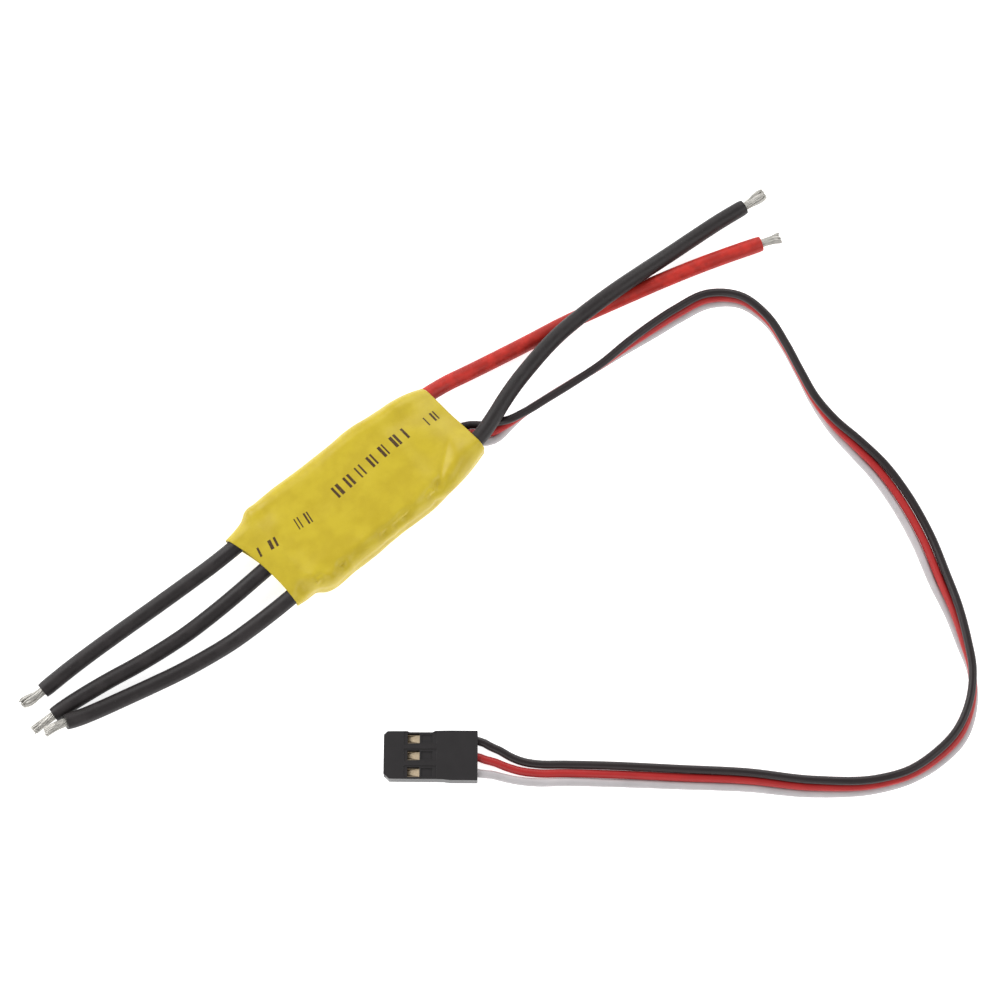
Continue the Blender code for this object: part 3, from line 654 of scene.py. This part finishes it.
def moulded_finish(name, color, roughness, scale=9.0, depth=0.01):
    """Moulded plastic: a spark-eroded grain, and faint flow marks."""
    finish = Finish(name, color, roughness)
    flow = finish.grain(0.5, 2.0)
    finish.set("Base Color", finish.blend(flow, tinted(color, 0.85), tinted(color, 1.25)))
    sparks = finish.grain(scale, 2.0)
    finish.set("Roughness", roughness - 0.05 + sparks * 0.12)
    finish.bump(sparks, depth)
    return finish.material


def laminate_finish(settings):
    """Solder mask over copper: traces along and across, and the weave under them."""
    finish = Finish("board_laminate", settings.laminate, 0.4)
    along, across, _ = finish.axes()
    jog = finish.grain(0.3, 1.0) * 2.0
    runs = ((along + jog.floor()) / TRACE_PITCH[0]).fraction() < TRACE_SHARE
    rows = ((across + jog.floor()) / TRACE_PITCH[1]).fraction() < TRACE_SHARE
    side = jog.fraction() > 0.5
    traces = runs * side + rows * (1 - side)
    finish.set("Base Color", finish.blend(traces, settings.laminate, settings.copper))
    weave = (along * WEAVE_THREADS).fraction() * (across * WEAVE_THREADS).fraction()
    finish.set("Roughness", 0.36 + weave * 0.12)
    finish.bump(traces + weave * 0.2, 0.03)
    return finish.material


def banded_finish(name, color, band, place, width):
    """A moulded case, with a band where it crosses one place across the board."""
    finish = Finish(name, color, 0.45)
    across = finish.axes()[1]
    stripe = abs(across - place) < width
    speck = finish.grain(6.0, 3.0)
    body = finish.blend(speck, tinted(color, 0.9), tinted(color, 1.1))
    finish.set("Base Color", finish.blend(stripe, body, band))
    finish.set("Roughness", 0.38 + speck * 0.14)
    finish.bump(speck, 0.012)
    return finish.material


def new_piece(name, data, material, slot, *nodes):
    """Puts a piece in the scene in place of its CAD nodes."""
    piece = bpy.data.objects.new(name, data)
    if material:
        data.materials.append(material)
    bpy.context.scene.collection.objects.link(piece)
    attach(piece, BODY)
    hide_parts(*nodes)
    return piece


def mesh_from(shape, name):
    """A smooth mesh from a bmesh."""
    mesh = bpy.data.meshes.new(name)
    shape.to_mesh(mesh)
    shape.free()
    mesh.shade_smooth()
    mesh.set_sharp_from_angle(angle=SMOOTH_ANGLE)
    return mesh


def hermite(rows, at, samples):
    """Rows on the smooth curve through the given rows, which lie at those places."""
    slopes = np.gradient(rows, at, axis=0)
    spans = np.diff(at)
    first = np.clip(np.searchsorted(at, samples, "right") - 1, 0, len(spans) - 1)
    span = spans[first][:, None]
    t = (samples - at[first])[:, None] / span
    return (
        rows[first] * (1 + 2 * t) * (1 - t) ** 2
        + rows[first + 1] * (3 - 2 * t) * t**2
        + slopes[first] * span * t * (1 - t) ** 2
        - slopes[first + 1] * span * (1 - t) * t**2
    )


def smooth_line(route, step):
    """Rows about one step apart on the smooth curve through the route's rows."""
    rows = np.array(route, float)
    chords = np.linalg.norm(np.diff(rows[:, :3], axis=0), axis=1)
    at = np.concatenate([[0.0], np.cumsum(chords)])
    samples = np.linspace(0.0, at[-1], round(at[-1] / step) + 1)
    return hermite(rows, at, samples)


def tubes_curve(name, lines, diameter, resolution=5):
    """Round tubes with closed ends, in one curve. Each line holds places, and how wide the
    tube is there as a share of the diameter."""
    curve = bpy.data.curves.new(name, "CURVE")
    curve.dimensions = "3D"
    curve.bevel_depth = diameter / 2
    curve.bevel_resolution = resolution
    curve.use_fill_caps = True
    for places, widths in lines:
        spline = curve.splines.new("POLY")
        spline.points.add(len(places) - 1)
        for point, place, width in zip(spline.points, places, widths):
            point.co = (*place, 1.0)
            point.radius = width
    return curve


def smooth_step(value, low, high):
    """A smooth step from 0 to 1 as the value goes from low to high."""
    t = min(1.0, max(0.0, (value - low) / (high - low)))
    return t * t * (3 - 2 * t)


def bell(distance, reach):
    """A smooth hump, 1 at its middle and close to nothing past twice its reach."""
    return math.exp(-((distance / reach) ** 2))


def outline(turn, right, left, under, top, radius):
    """A place on the sleeve's rounded outline and the way out of it there, for a turn of
    0 to 1 round it from the middle of its top, in mm."""
    corner_share = 0.11
    side_share = 0.06
    top_share = (1.0 - 4 * corner_share - 2 * side_share) / 2
    inner = (left - radius, right + radius)
    middle = (left + right) / 2
    stops = (
        (top_share / 2, "flat", (middle, top), (inner[0], top), (0.0, 1.0)),
        (corner_share, "corner", (inner[0], top - radius), 90.0, -90.0),
        (side_share, "flat", (left, top - radius), (left, under + radius), (1.0, 0.0)),
        (corner_share, "corner", (inner[0], under + radius), 0.0, -90.0),
        (top_share, "flat", (inner[0], under), (inner[1], under), (0.0, -1.0)),
        (corner_share, "corner", (inner[1], under + radius), 270.0, -90.0),
        (side_share, "flat", (right, under + radius), (right, top - radius), (-1.0, 0.0)),
        (corner_share, "corner", (inner[1], top - radius), 180.0, -90.0),
        (top_share / 2, "flat", (inner[1], top), (middle, top), (0.0, 1.0)),
    )
    rest = turn
    for share, kind, start, end, way in stops:
        if rest <= share + OUTLINE_SLACK:
            break
        rest -= share
    part = min(1.0, rest / share)
    if kind == "flat":
        place = tuple(a + (b - a) * part for a, b in zip(start, end))
        return place, way
    angle = math.radians(end + way * part)
    way = (math.cos(angle), math.sin(angle))
    return (start[0] + radius * way[0], start[1] + radius * way[1]), way


def crease(along, across):
    """How far the film stands out by the crease at the sleeve's corner, in mm."""
    start, end = CREASE_ENDS
    run = (end - start).normalized()
    offset = Vector((along, across)) - start
    beside = offset.dot(Vector((-run.y, run.x)))
    reach = offset.dot(run) / (end - start).length
    within = smooth_step(reach, *CREASE_START) * (1 - smooth_step(reach, *CREASE_FINISH))
    valley = -CREASE_DEPTH * bell(beside + CREASE_WIDTH, CREASE_WIDTH)
    facet = CREASE_LIFT * bell(beside - FACET_WIDTH, FACET_WIDTH)
    return within * (valley + facet)


def film_relief(along, across, height, way):
    """How far the film stands out from its plain outline, in mm."""
    relief = 0.0
    upper = smooth_step(height, *UPPER_FILM)
    if upper:
        for x, y, reach_along, reach_across, swell in SLEEVE_SWELLS:
            relief += swell * bell(along - x, reach_along) * bell(across - y, reach_across)
        relief = upper * (relief + crease(along, across))
    on_side = abs(way[0])
    ridge = bell(height - BOARD_EDGE_HEIGHT, BOARD_EDGE_SPREAD)
    ridge *= 1 - smooth_step(abs(along), *BOARD_EDGE_REACH)
    relief += BOARD_EDGE_RIDGE * on_side * ridge
    for wave, swell in FILM_WAVES:
        place = Vector((along, across * WAVE_FACTOR, height * WAVE_FACTOR)) / wave
        relief += swell * noise.noise(place)
    return relief


def rested(along, across, height):
    """The height of the film there, held up where it rests on the heat spreader."""
    middle, reach_along, reach_across, edge = SPREADER
    beyond = max(0.0, abs(across) - reach_across, abs(along - middle) - reach_along)
    if height < edge - FILM_REST or beyond >= FILM_REST:
        return height
    return max(height, edge + math.sqrt(FILM_REST**2 - beyond**2))


def sleeve_mesh(name):
    """The sleeve's skin: a sheet wrapped round the board and closed along its top."""
    shape = bmesh.new()
    bmesh.ops.create_grid(shape, x_segments=SLEEVE_ALONG, y_segments=SLEEVE_AROUND, size=0.5)
    rows = np.array(SLEEVE_SECTIONS)
    samples = np.linspace(rows[0, 0], rows[-1, 0], SLEEVE_ALONG + 1)
    sections = hermite(rows, rows[:, 0], samples)
    ends = (sections[0][0], sections[-1][0])
    for vert in shape.verts:
        section = sections[round((vert.co.x + 0.5) * SLEEVE_ALONG)]
        middle, slant, right, left, under, top, radius, sink, lean = section
        (across, height), way = outline(vert.co.y + 0.5, right, left, under, top, radius)
        out = (2 * across - left - right) / (left - right)
        raised = smooth_step(height, under, top)
        height -= raised * (sink * out**2 + lean * (1 + out) / 2)
        along = middle + slant * across
        lips = ((MOTOR_LIP_BOW, middle - ends[0]), (BATTERY_LIP_BOW, ends[1] - middle))
        for (low, high), apart in lips:
            along += (low + (high - low) * raised) * (1 - out**2) * math.exp(-apart / LIP_FADE)
        relief = film_relief(along, across, height, way)
        across += relief * way[0]
        height = rested(along, across, max(0.0, height + relief * way[1]))
        vert.co = Vector((along, across, height)) * MM
    bmesh.ops.remove_doubles(shape, verts=shape.verts[:], dist=MERGE_REACH * MM)
    bmesh.ops.recalc_face_normals(shape, faces=shape.faces[:])
    return mesh_from(shape, name)


def box_in(shape, size, centre):
    """Adds a box to a bmesh and gives its corners."""
    placed = Matrix.Translation(centre) @ Matrix.Diagonal((*size, 1.0))
    return bmesh.ops.create_cube(shape, size=1.0, matrix=placed)["verts"]


def cut(body, size, centre):
    """The mesh with a box taken out of it, all in mm."""
    shape = bmesh.new()
    box_in(shape, size, centre)
    tool_mesh = bpy.data.meshes.new("cutter")
    shape.to_mesh(tool_mesh)
    shape.free()
    collection = bpy.context.scene.collection
    held = bpy.data.objects.new("held", body)
    tool = bpy.data.objects.new("tool", tool_mesh)
    collection.objects.link(held)
    collection.objects.link(tool)
    modifier = held.modifiers.new("cut", "BOOLEAN")
    modifier.operation = "DIFFERENCE"
    modifier.solver = "EXACT"
    modifier.object = tool
    graph = bpy.context.evaluated_depsgraph_get()
    result = bpy.data.meshes.new_from_object(held.evaluated_get(graph))
    bpy.data.objects.remove(held)
    bpy.data.objects.remove(tool)
    bpy.data.meshes.remove(tool_mesh)
    bpy.data.meshes.remove(body)
    return result


def plug_blank():
    """The plug's outside in mm, about its centre: a flat block with the plug's outline."""
    shape = bmesh.new()
    box_in(shape, PLUG_SIZE, Vector())
    for along, _, _ in PLUG_OUTLINE[1:-1]:
        bmesh.ops.bisect_plane(
            shape,
            geom=shape.verts[:] + shape.edges[:] + shape.faces[:],
            plane_co=(along, 0.0, 0.0),
            plane_no=(1.0, 0.0, 0.0),
        )
    for vert in shape.verts:
        _, left, right = min(PLUG_OUTLINE, key=lambda row: abs(row[0] - vert.co.x))
        vert.co.y = left if vert.co.y > 0 else right
    bmesh.ops.recalc_face_normals(shape, faces=shape.faces[:])
    mesh = bpy.data.meshes.new("plug_blank")
    shape.to_mesh(mesh)
    shape.free()
    return mesh


def plug_cuts():
    """What is cut from the plug for each contact: its bore, socket, funnel, window, latch
    and the shallow recess round them; sizes and centres in mm."""
    half = PLUG_SIZE.x / 2
    spare = 1.0
    bore_length = PLUG_SIZE.x - PLUG_FRONT_WALL + spare
    for side in CONDUCTOR_SIDES.values():
        across = side * PLUG_PITCH
        for size, along in (RECESS, LATCH, WINDOW):
            yield size, Vector((along, across, PLUG_SIZE.z / 2))
        bore = Vector((bore_length, PLUG_BORE, PLUG_BORE))
        yield bore, Vector((half + spare - bore_length / 2, across, 0.0))
        socket = Vector((PLUG_FRONT_WALL + 2 * spare, PLUG_SOCKET, PLUG_SOCKET))
        yield socket, Vector((-half + PLUG_FRONT_WALL / 2, across, 0.0))
        funnel = Vector((2 * PLUG_FUNNEL_DEPTH, PLUG_FUNNEL, PLUG_FUNNEL))
        yield funnel, Vector((-half, across, 0.0))


def in_plug():
    """From the plug's own mm to its place in the frame."""
    return (
        Matrix.Translation(PLUG_CENTRE) @ Matrix.Rotation(PLUG_TURN, 4, "Z") @ Matrix.Scale(MM, 4)
    )


def add_strip(shape, size, centre):
    """A flat piece of the contact's strip, with its edges eased."""
    verts = box_in(shape, size, centre)
    edges = dict.fromkeys(edge for vert in verts for edge in vert.link_edges)
    bmesh.ops.bevel(
        shape,
        geom=list(edges),
        offset=CONTACT_EASE,
        segments=1,
        profile=0.5,
        affect="EDGES",
        material=-1,
    )


def add_crimp(shape, start, end, radius):
    """A strip curled round the wire, open along its top."""
    opening = CRIMP_OPENING / 2
    profile = []
    inside = radius - CONTACT_STRIP
    for x, r in ((start, radius), (end, radius), (end, inside), (start, inside)):
        place = Vector((x, r * math.sin(opening), r * math.cos(opening)))
        profile.append(shape.verts.new(place))
    face = shape.faces.new(profile)
    bmesh.ops.spin(
        shape,
        geom=[face],
        cent=(0.0, 0.0, 0.0),
        axis=(-1.0, 0.0, 0.0),
        angle=2 * math.pi - 2 * opening,
        steps=CRIMP_STEPS,
        use_merge=False,
    )


def contact_mesh(name, across):
    """A crimped contact: its box, the sprung lance in the window, its neck and two crimps."""
    shape = bmesh.new()
    start, end = CONTACT_BOX
    half = CONTACT_SIDE / 2
    middle = (start + end) / 2
    inset = half - CONTACT_STRIP / 2
    for way in (-1, 1):
        wall = Vector((end - start, CONTACT_STRIP, CONTACT_SIDE))
        wall.z -= CONTACT_STRIP
        add_strip(shape, wall, Vector((middle, way * inset, 0.0)))
    inner = CONTACT_SIDE - 2.2 * CONTACT_STRIP
    add_strip(shape, Vector((end - start, inner, CONTACT_STRIP)), Vector((middle, 0.0, -inset)))
    cover_middle = (start + CONTACT_COVER_END) / 2
    cover = Vector((CONTACT_COVER_END - start, inner, CONTACT_STRIP))
    add_strip(shape, cover, Vector((cover_middle, 0.0, inset)))
    lance = box_in(shape, Vector((1.0, 1.0, CONTACT_STRIP)), Vector((0.5, 0.0, 0.0)))
    for vert in lance:
        along, height, width = LANCE[round(vert.co.x)]
        vert.co = Vector((along, vert.co.y * width, vert.co.z + height))
    neck_length = CONTACT_NECK[1] - CONTACT_NECK[0]
    neck_middle = (CONTACT_NECK[0] + CONTACT_NECK[1]) / 2
    floor = Vector((neck_length, CORE_CRIMP[2] * 2, CONTACT_STRIP))
    add_strip(shape, floor, Vector((neck_middle, 0.0, CONTACT_STRIP / 2 - CORE_CRIMP[2])))
    add_crimp(shape, *CORE_CRIMP)
    add_crimp(shape, *JACKET_CRIMP)
    bmesh.ops.recalc_face_normals(shape, faces=shape.faces[:])
    bmesh.ops.translate(shape, vec=(0.0, across, 0.0), verts=shape.verts[:])
    bmesh.ops.transform(shape, matrix=in_plug(), verts=shape.verts[:])
    return mesh_from(shape, name)


def strand_lines(name, start, heading, tip, fan, loop, stray):
    """The strands past a lead's insulation, and the solder that runs up between them."""
    draw = random.Random(name)
    bend = start + heading * (tip - start).length / 2
    side = heading.cross(Vector((0.0, 0.0, 1.0))).normalized()
    rise = side.cross(heading).normalized()

    def centre(t):
        return start.lerp(bend, t).lerp(bend.lerp(tip, t), t)

    lines = []
    for radius, count in STRAND_RINGS:
        for number in range(count):
            scatter = draw.uniform(-STRAND_SCATTER, STRAND_SCATTER)
            angle = 2 * math.pi * number / count + scatter
            way = 1.0 if math.cos(angle) > 0 else -1.0
            reach = 1.0 + draw.uniform(*STRAND_REACH)
            wander = draw.uniform(-stray, stray)
            places = []
            for step in range(STRAND_STEPS + 1):
                t = step / STRAND_STEPS
                turned = angle + STRAND_TWIST * t * (1 - STRAND_UNTWIST * t)
                open_up = way * (fan * t**3 + loop * math.sin(math.pi * t**2))
                across = radius * math.cos(turned) + open_up + wander * t * t
                high = radius * math.sin(turned) * (1 - (1 - STRAND_FLATTEN) * t)
                places.append(centre(t * reach) + (side * across + rise * high) * MM)
            widths = [1.0] * (len(places) - len(STRAND_ROUNDING)) + list(STRAND_ROUNDING)
            lines.append((places, widths))
    core = [(centre(t), share) for t, share in SOLDER_TAPER]
    return lines, core


def conductor_line(side, step):
    """The points down one conductor of the servo lead, in metres."""
    rows = list(SERVO_ROUTE)
    for along, lift, pitch in PLUG_ENTRY:
        place = in_plug() @ Vector((along, 0.0, 0.0)) / MM
        rows.append((place.x, place.y, lift, 180, pitch))
    rows = smooth_line(rows, step)
    x, y, lift, roll, pitch = rows.T
    roll = np.radians(roll)
    ahead = np.gradient(rows[:, :2], axis=0)
    ahead /= np.linalg.norm(ahead, axis=1)[:, None]
    across = side * pitch * np.cos(roll)
    height = lift + CAD_CONDUCTOR / 2 + pitch * (np.abs(np.sin(roll)) - side * np.sin(roll))
    return np.column_stack([x + across * ahead[:, 1], y - across * ahead[:, 0], height]) * MM


def build_lead(name, route, material, slot, tin, settings):
    """One power lead and its tinned strands."""
    line = smooth_line(route, LEAD_STEP) * MM
    widths = [1.0] * (len(line) - len(LEAD_ROUNDING)) + list(LEAD_ROUNDING)
    curve = tubes_curve(name, [(line, widths)], settings.diameter, resolution=8)
    lead = new_piece(name + "_jacket", curve, material, slot, name)
    tip, fan, loop, stray = TINNED_ENDS[name]
    heading = Vector(line[-1] - line[-2]).normalized()
    end = Vector(line[-1])
    lines, core = strand_lines(name, end, heading, Vector(tip) * MM, fan, loop, stray)
    ratio = settings.solder / settings.strand
    lines.append(([place for place, _ in core], [share * ratio for _, share in core]))
    tinned = name + "_tinned_end"
    strands = tubes_curve(tinned, lines, settings.strand, resolution=2)
    ends = new_piece(name + "_strands", strands, tin, "tinned_strands", tinned)


class CONTROLLER_OT_stage(bpy.types.Operator):
    """Add the floor, the soft boxes, the world and the camera"""

    bl_idname = "controller.stage"
    bl_label = "Stage"

    def add_camera(self, scene):
        back = Vector(
            (
                math.sin(CAMERA_AZIMUTH) * math.cos(CAMERA_ELEVATION),
                -math.cos(CAMERA_AZIMUTH) * math.cos(CAMERA_ELEVATION),
                math.sin(CAMERA_ELEVATION),
            )
        )
        data = bpy.data.cameras.new("camera")
        data.lens = CAMERA_LENS
        data.sensor_width = CAMERA_SENSOR
        camera = bpy.data.objects.new("camera", data)
        camera.location = CAMERA_TARGET + back * CAMERA_DISTANCE
        camera.rotation_euler = (-back).to_track_quat("-Z", "Y").to_euler()
        scene.collection.objects.link(camera)
        scene.camera = camera

    def add_floor(self, scene, settings):
        shape = bmesh.new()
        bmesh.ops.create_grid(shape, x_segments=1, y_segments=1, size=settings.floor_size / 2)
        floor = bpy.data.objects.new("floor", mesh_from(shape, "floor"))
        finish = Finish("floor_paint", settings.floor_colour, 0.7)
        finish.set("Specular IOR Level", 0.2)
        finish.set("Emission Color", (1.0, 1.0, 1.0))
        finish.set("Emission Strength", settings.floor_glow)
        floor.data.materials.append(finish.material)
        scene.collection.objects.link(floor)

    def add_soft_boxes(self, scene, settings):
        for azimuth, elevation, distance, size, share in SOFT_BOXES:
            turn, tilt = math.radians(azimuth), math.radians(elevation)
            way = Vector(
                (
                    math.cos(turn) * math.cos(tilt),
                    math.sin(turn) * math.cos(tilt),
                    math.sin(tilt),
                )
            )
            data = bpy.data.lights.new("soft_box", "AREA")
            data.shape = "SQUARE"
            data.size = size
            data.energy = settings.box_power * share
            light = bpy.data.objects.new("soft_box", data)
            light.location = way * distance
            light.rotation_euler = (-way).to_track_quat("-Z", "Y").to_euler()
            scene.collection.objects.link(light)

    def execute(self, context):
        scene = context.scene
        settings = scene.controller_stage
        self.add_camera(scene)
        self.add_floor(scene, settings)
        self.add_soft_boxes(scene, settings)
        world = bpy.data.worlds.new("studio")
        world.use_nodes = True
        background = world.node_tree.nodes["Background"]
        background.inputs["Color"].default_value = (1.0, 1.0, 1.0, 1.0)
        background.inputs["Strength"].default_value = settings.world_light
        scene.world = world
        scene.view_settings.view_transform = "Standard"
        return {"FINISHED"}


class CONTROLLER_OT_power_leads(bpy.types.Operator):
    """Add the motor and battery leads and their tinned ends"""

    bl_idname = "controller.power_leads"
    bl_label = "Power leads"

    def execute(self, context):
        settings = context.scene.controller_leads
        black = rubber_finish("black_silicone", settings.black, 0.1)
        red = rubber_finish("red_silicone", settings.red, 0.08)
        tin = metal_finish("tinned_strands", settings.tin, 0.4)
        for phase, route in MOTOR_ROUTES.items():
            build_lead(f"motor_lead_{phase}", route, black, "black_silicone", tin, settings)
        looks = {"positive": (red, "red_silicone"), "negative": (black, "black_silicone")}
        for pole, route in BATTERY_ROUTES.items():
            build_lead(f"battery_lead_{pole}", route, *looks[pole], tin, settings)
        return {"FINISHED"}


class CONTROLLER_OT_plug(bpy.types.Operator):
    """Add the servo plug's housing"""

    bl_idname = "controller.plug"
    bl_label = "Servo plug"

    def execute(self, context):
        settings = context.scene.controller_servo
        mesh = plug_blank()
        for size, centre in plug_cuts():
            mesh = cut(mesh, size, centre)
        mesh.transform(in_plug())
        mesh.shade_smooth()
        mesh.set_sharp_from_angle(angle=SMOOTH_ANGLE)
        nylon = moulded_finish("plug_nylon", settings.plug, 0.36)
        plug = new_piece("servo_plug", mesh, nylon, "plug_nylon", "servo_plug_housing")
        bevel = plug.modifiers.new("eased edges", "BEVEL")
        bevel.width = PLUG_BEVEL * MM
        bevel.segments = 2
        bevel.limit_method = "ANGLE"
        bevel.angle_limit = SMOOTH_ANGLE
        bevel.harden_normals = True
        return {"FINISHED"}


class CONTROLLER_OT_contacts(bpy.types.Operator):
    """Add the three crimped contacts"""

    bl_idname = "controller.contacts"
    bl_label = "Contacts"

    def execute(self, context):
        settings = context.scene.controller_servo
        gilt = metal_finish("gilt_contact", settings.brass, 0.32)
        for wire, side in CONDUCTOR_SIDES.items():
            name = f"contact_{wire}"
            mesh = contact_mesh(name, -side * PLUG_PITCH)
            new_piece(name, mesh, gilt, "gilt_contact", f"crimp_contact_{wire}")
        return {"FINISHED"}


class CONTROLLER_OT_servo_lead(bpy.types.Operator):
    """Add the servo lead's three conductors, after the plug and the contacts"""

    bl_idname = "controller.servo_lead"
    bl_label = "Servo lead"

    def execute(self, context):
        settings = context.scene.controller_servo
        colours = {"ground": settings.black, "power": settings.red, "signal": settings.white}
        names = {"ground": "black_vinyl", "power": "red_vinyl", "signal": "white_vinyl"}
        for wire, side in CONDUCTOR_SIDES.items():
            slot = names[wire]
            line = conductor_line(side, CONDUCTOR_STEP)
            name = f"servo_wire_{wire}"
            curve = tubes_curve(name, [(line, [1.0] * len(line))], settings.diameter)
            finish = vinyl_finish(slot, colours[wire])
            wire_piece = new_piece(name, curve, finish, slot, f"servo_conductor_{wire}")
        return {"FINISHED"}


class CONTROLLER_OT_sleeve(bpy.types.Operator):
    """Add the heat-shrink sleeve"""

    bl_idname = "controller.sleeve"
    bl_label = "Sleeve"

    def execute(self, context):
        settings = context.scene.controller_sleeve
        film = film_finish(settings)
        mesh = sleeve_mesh("shrink_sleeve")
        sleeve = new_piece("shrink_sleeve", mesh, film, "sleeve_film", "heat_shrink_sleeve")
        wall = sleeve.modifiers.new("wall", "SOLIDIFY")
        wall.thickness = settings.wall
        wall.offset = -1.0
        return {"FINISHED"}


class CONTROLLER_OT_board(bpy.types.Operator):
    """Give the board and the parts in the sleeve their finishes"""

    bl_idname = "controller.board"
    bl_label = "Board finishes"

    def finishes(self, settings):
        """Each kind of part, by the start of its name, and its finish."""
        epoxy = moulded_finish("moulded_epoxy", settings.epoxy, 0.5, scale=7.0, depth=0.015)
        brushed = (0.06, 1.0, 1.0)
        plate = metal_finish("aluminium_plate", settings.aluminium, 0.36, 6.0, brushed)
        solder = metal_finish("solder", settings.solder, 0.28, 4.0)
        case = banded_finish("tantalum_case", settings.tantalum, settings.band, 3.0, 0.35)
        return {
            "circuit_board": laminate_finish(settings),
            "heat_spreader": plate,
            "thermal_pad": moulded_finish("thermal_gum", settings.gum, 0.8, 3.0, 0.04),
            "power_mosfet": epoxy,
            "microcontroller": epoxy,
            "gate_driver": epoxy,
            "voltage_regulator": epoxy,
            "input_capacitor": case,
            "ceramic_capacitor": moulded_finish("ceramic_body", settings.ceramic, 0.6, 8.0),
            "resonator": metal_finish("resonator_can", settings.can, 0.3, 8.0),
            "resistor": moulded_finish("resistor_body", settings.resistor, 0.45, 10.0),
            "motor_solder": solder,
            "battery_solder": solder,
            "servo_solder": solder,
        }

    def execute(self, context):
        finishes = self.finishes(context.scene.controller_board)
        for name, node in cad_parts.items():
            for start, material in finishes.items():
                if name.startswith(start):
                    node.data.materials.clear()
                    node.data.materials.append(material)
        return {"FINISHED"}


class CONTROLLER_PT_panel(bpy.types.Panel):
    """The controller's pieces, in the order in which they are built"""

    bl_idname = "CONTROLLER_PT_panel"
    bl_label = "Speed Controller"
    bl_space_type = "VIEW_3D"
    bl_region_type = "UI"
    bl_category = "Controller"

    def draw(self, context):
        for operator in OPERATORS:
            self.layout.operator(operator.bl_idname)


SETTINGS = {
    "controller_stage": StageSettings,
    "controller_leads": LeadSettings,
    "controller_servo": ServoSettings,
    "controller_sleeve": SleeveSettings,
    "controller_board": BoardSettings,
}
OPERATORS = (
    CONTROLLER_OT_stage,
    CONTROLLER_OT_power_leads,
    CONTROLLER_OT_plug,
    CONTROLLER_OT_contacts,
    CONTROLLER_OT_servo_lead,
    CONTROLLER_OT_sleeve,
    CONTROLLER_OT_board,
)


def register():
    for cls in (*SETTINGS.values(), *OPERATORS, CONTROLLER_PT_panel):
        bpy.utils.register_class(cls)
    for name, cls in SETTINGS.items():
        setattr(bpy.types.Scene, name, bpy.props.PointerProperty(type=cls))


def unregister():
    for name in SETTINGS:
        delattr(bpy.types.Scene, name)
    for cls in (CONTROLLER_PT_panel, *reversed(OPERATORS), *SETTINGS.values()):
        bpy.utils.unregister_class(cls)


def main():
    register()
    bpy.ops.controller.stage()
    bpy.ops.controller.power_leads()
    bpy.ops.controller.plug()
    bpy.ops.controller.contacts()
    bpy.ops.controller.servo_lead()
    bpy.ops.controller.sleeve()
    bpy.ops.controller.board()


if __name__ == "__main__":
    main()
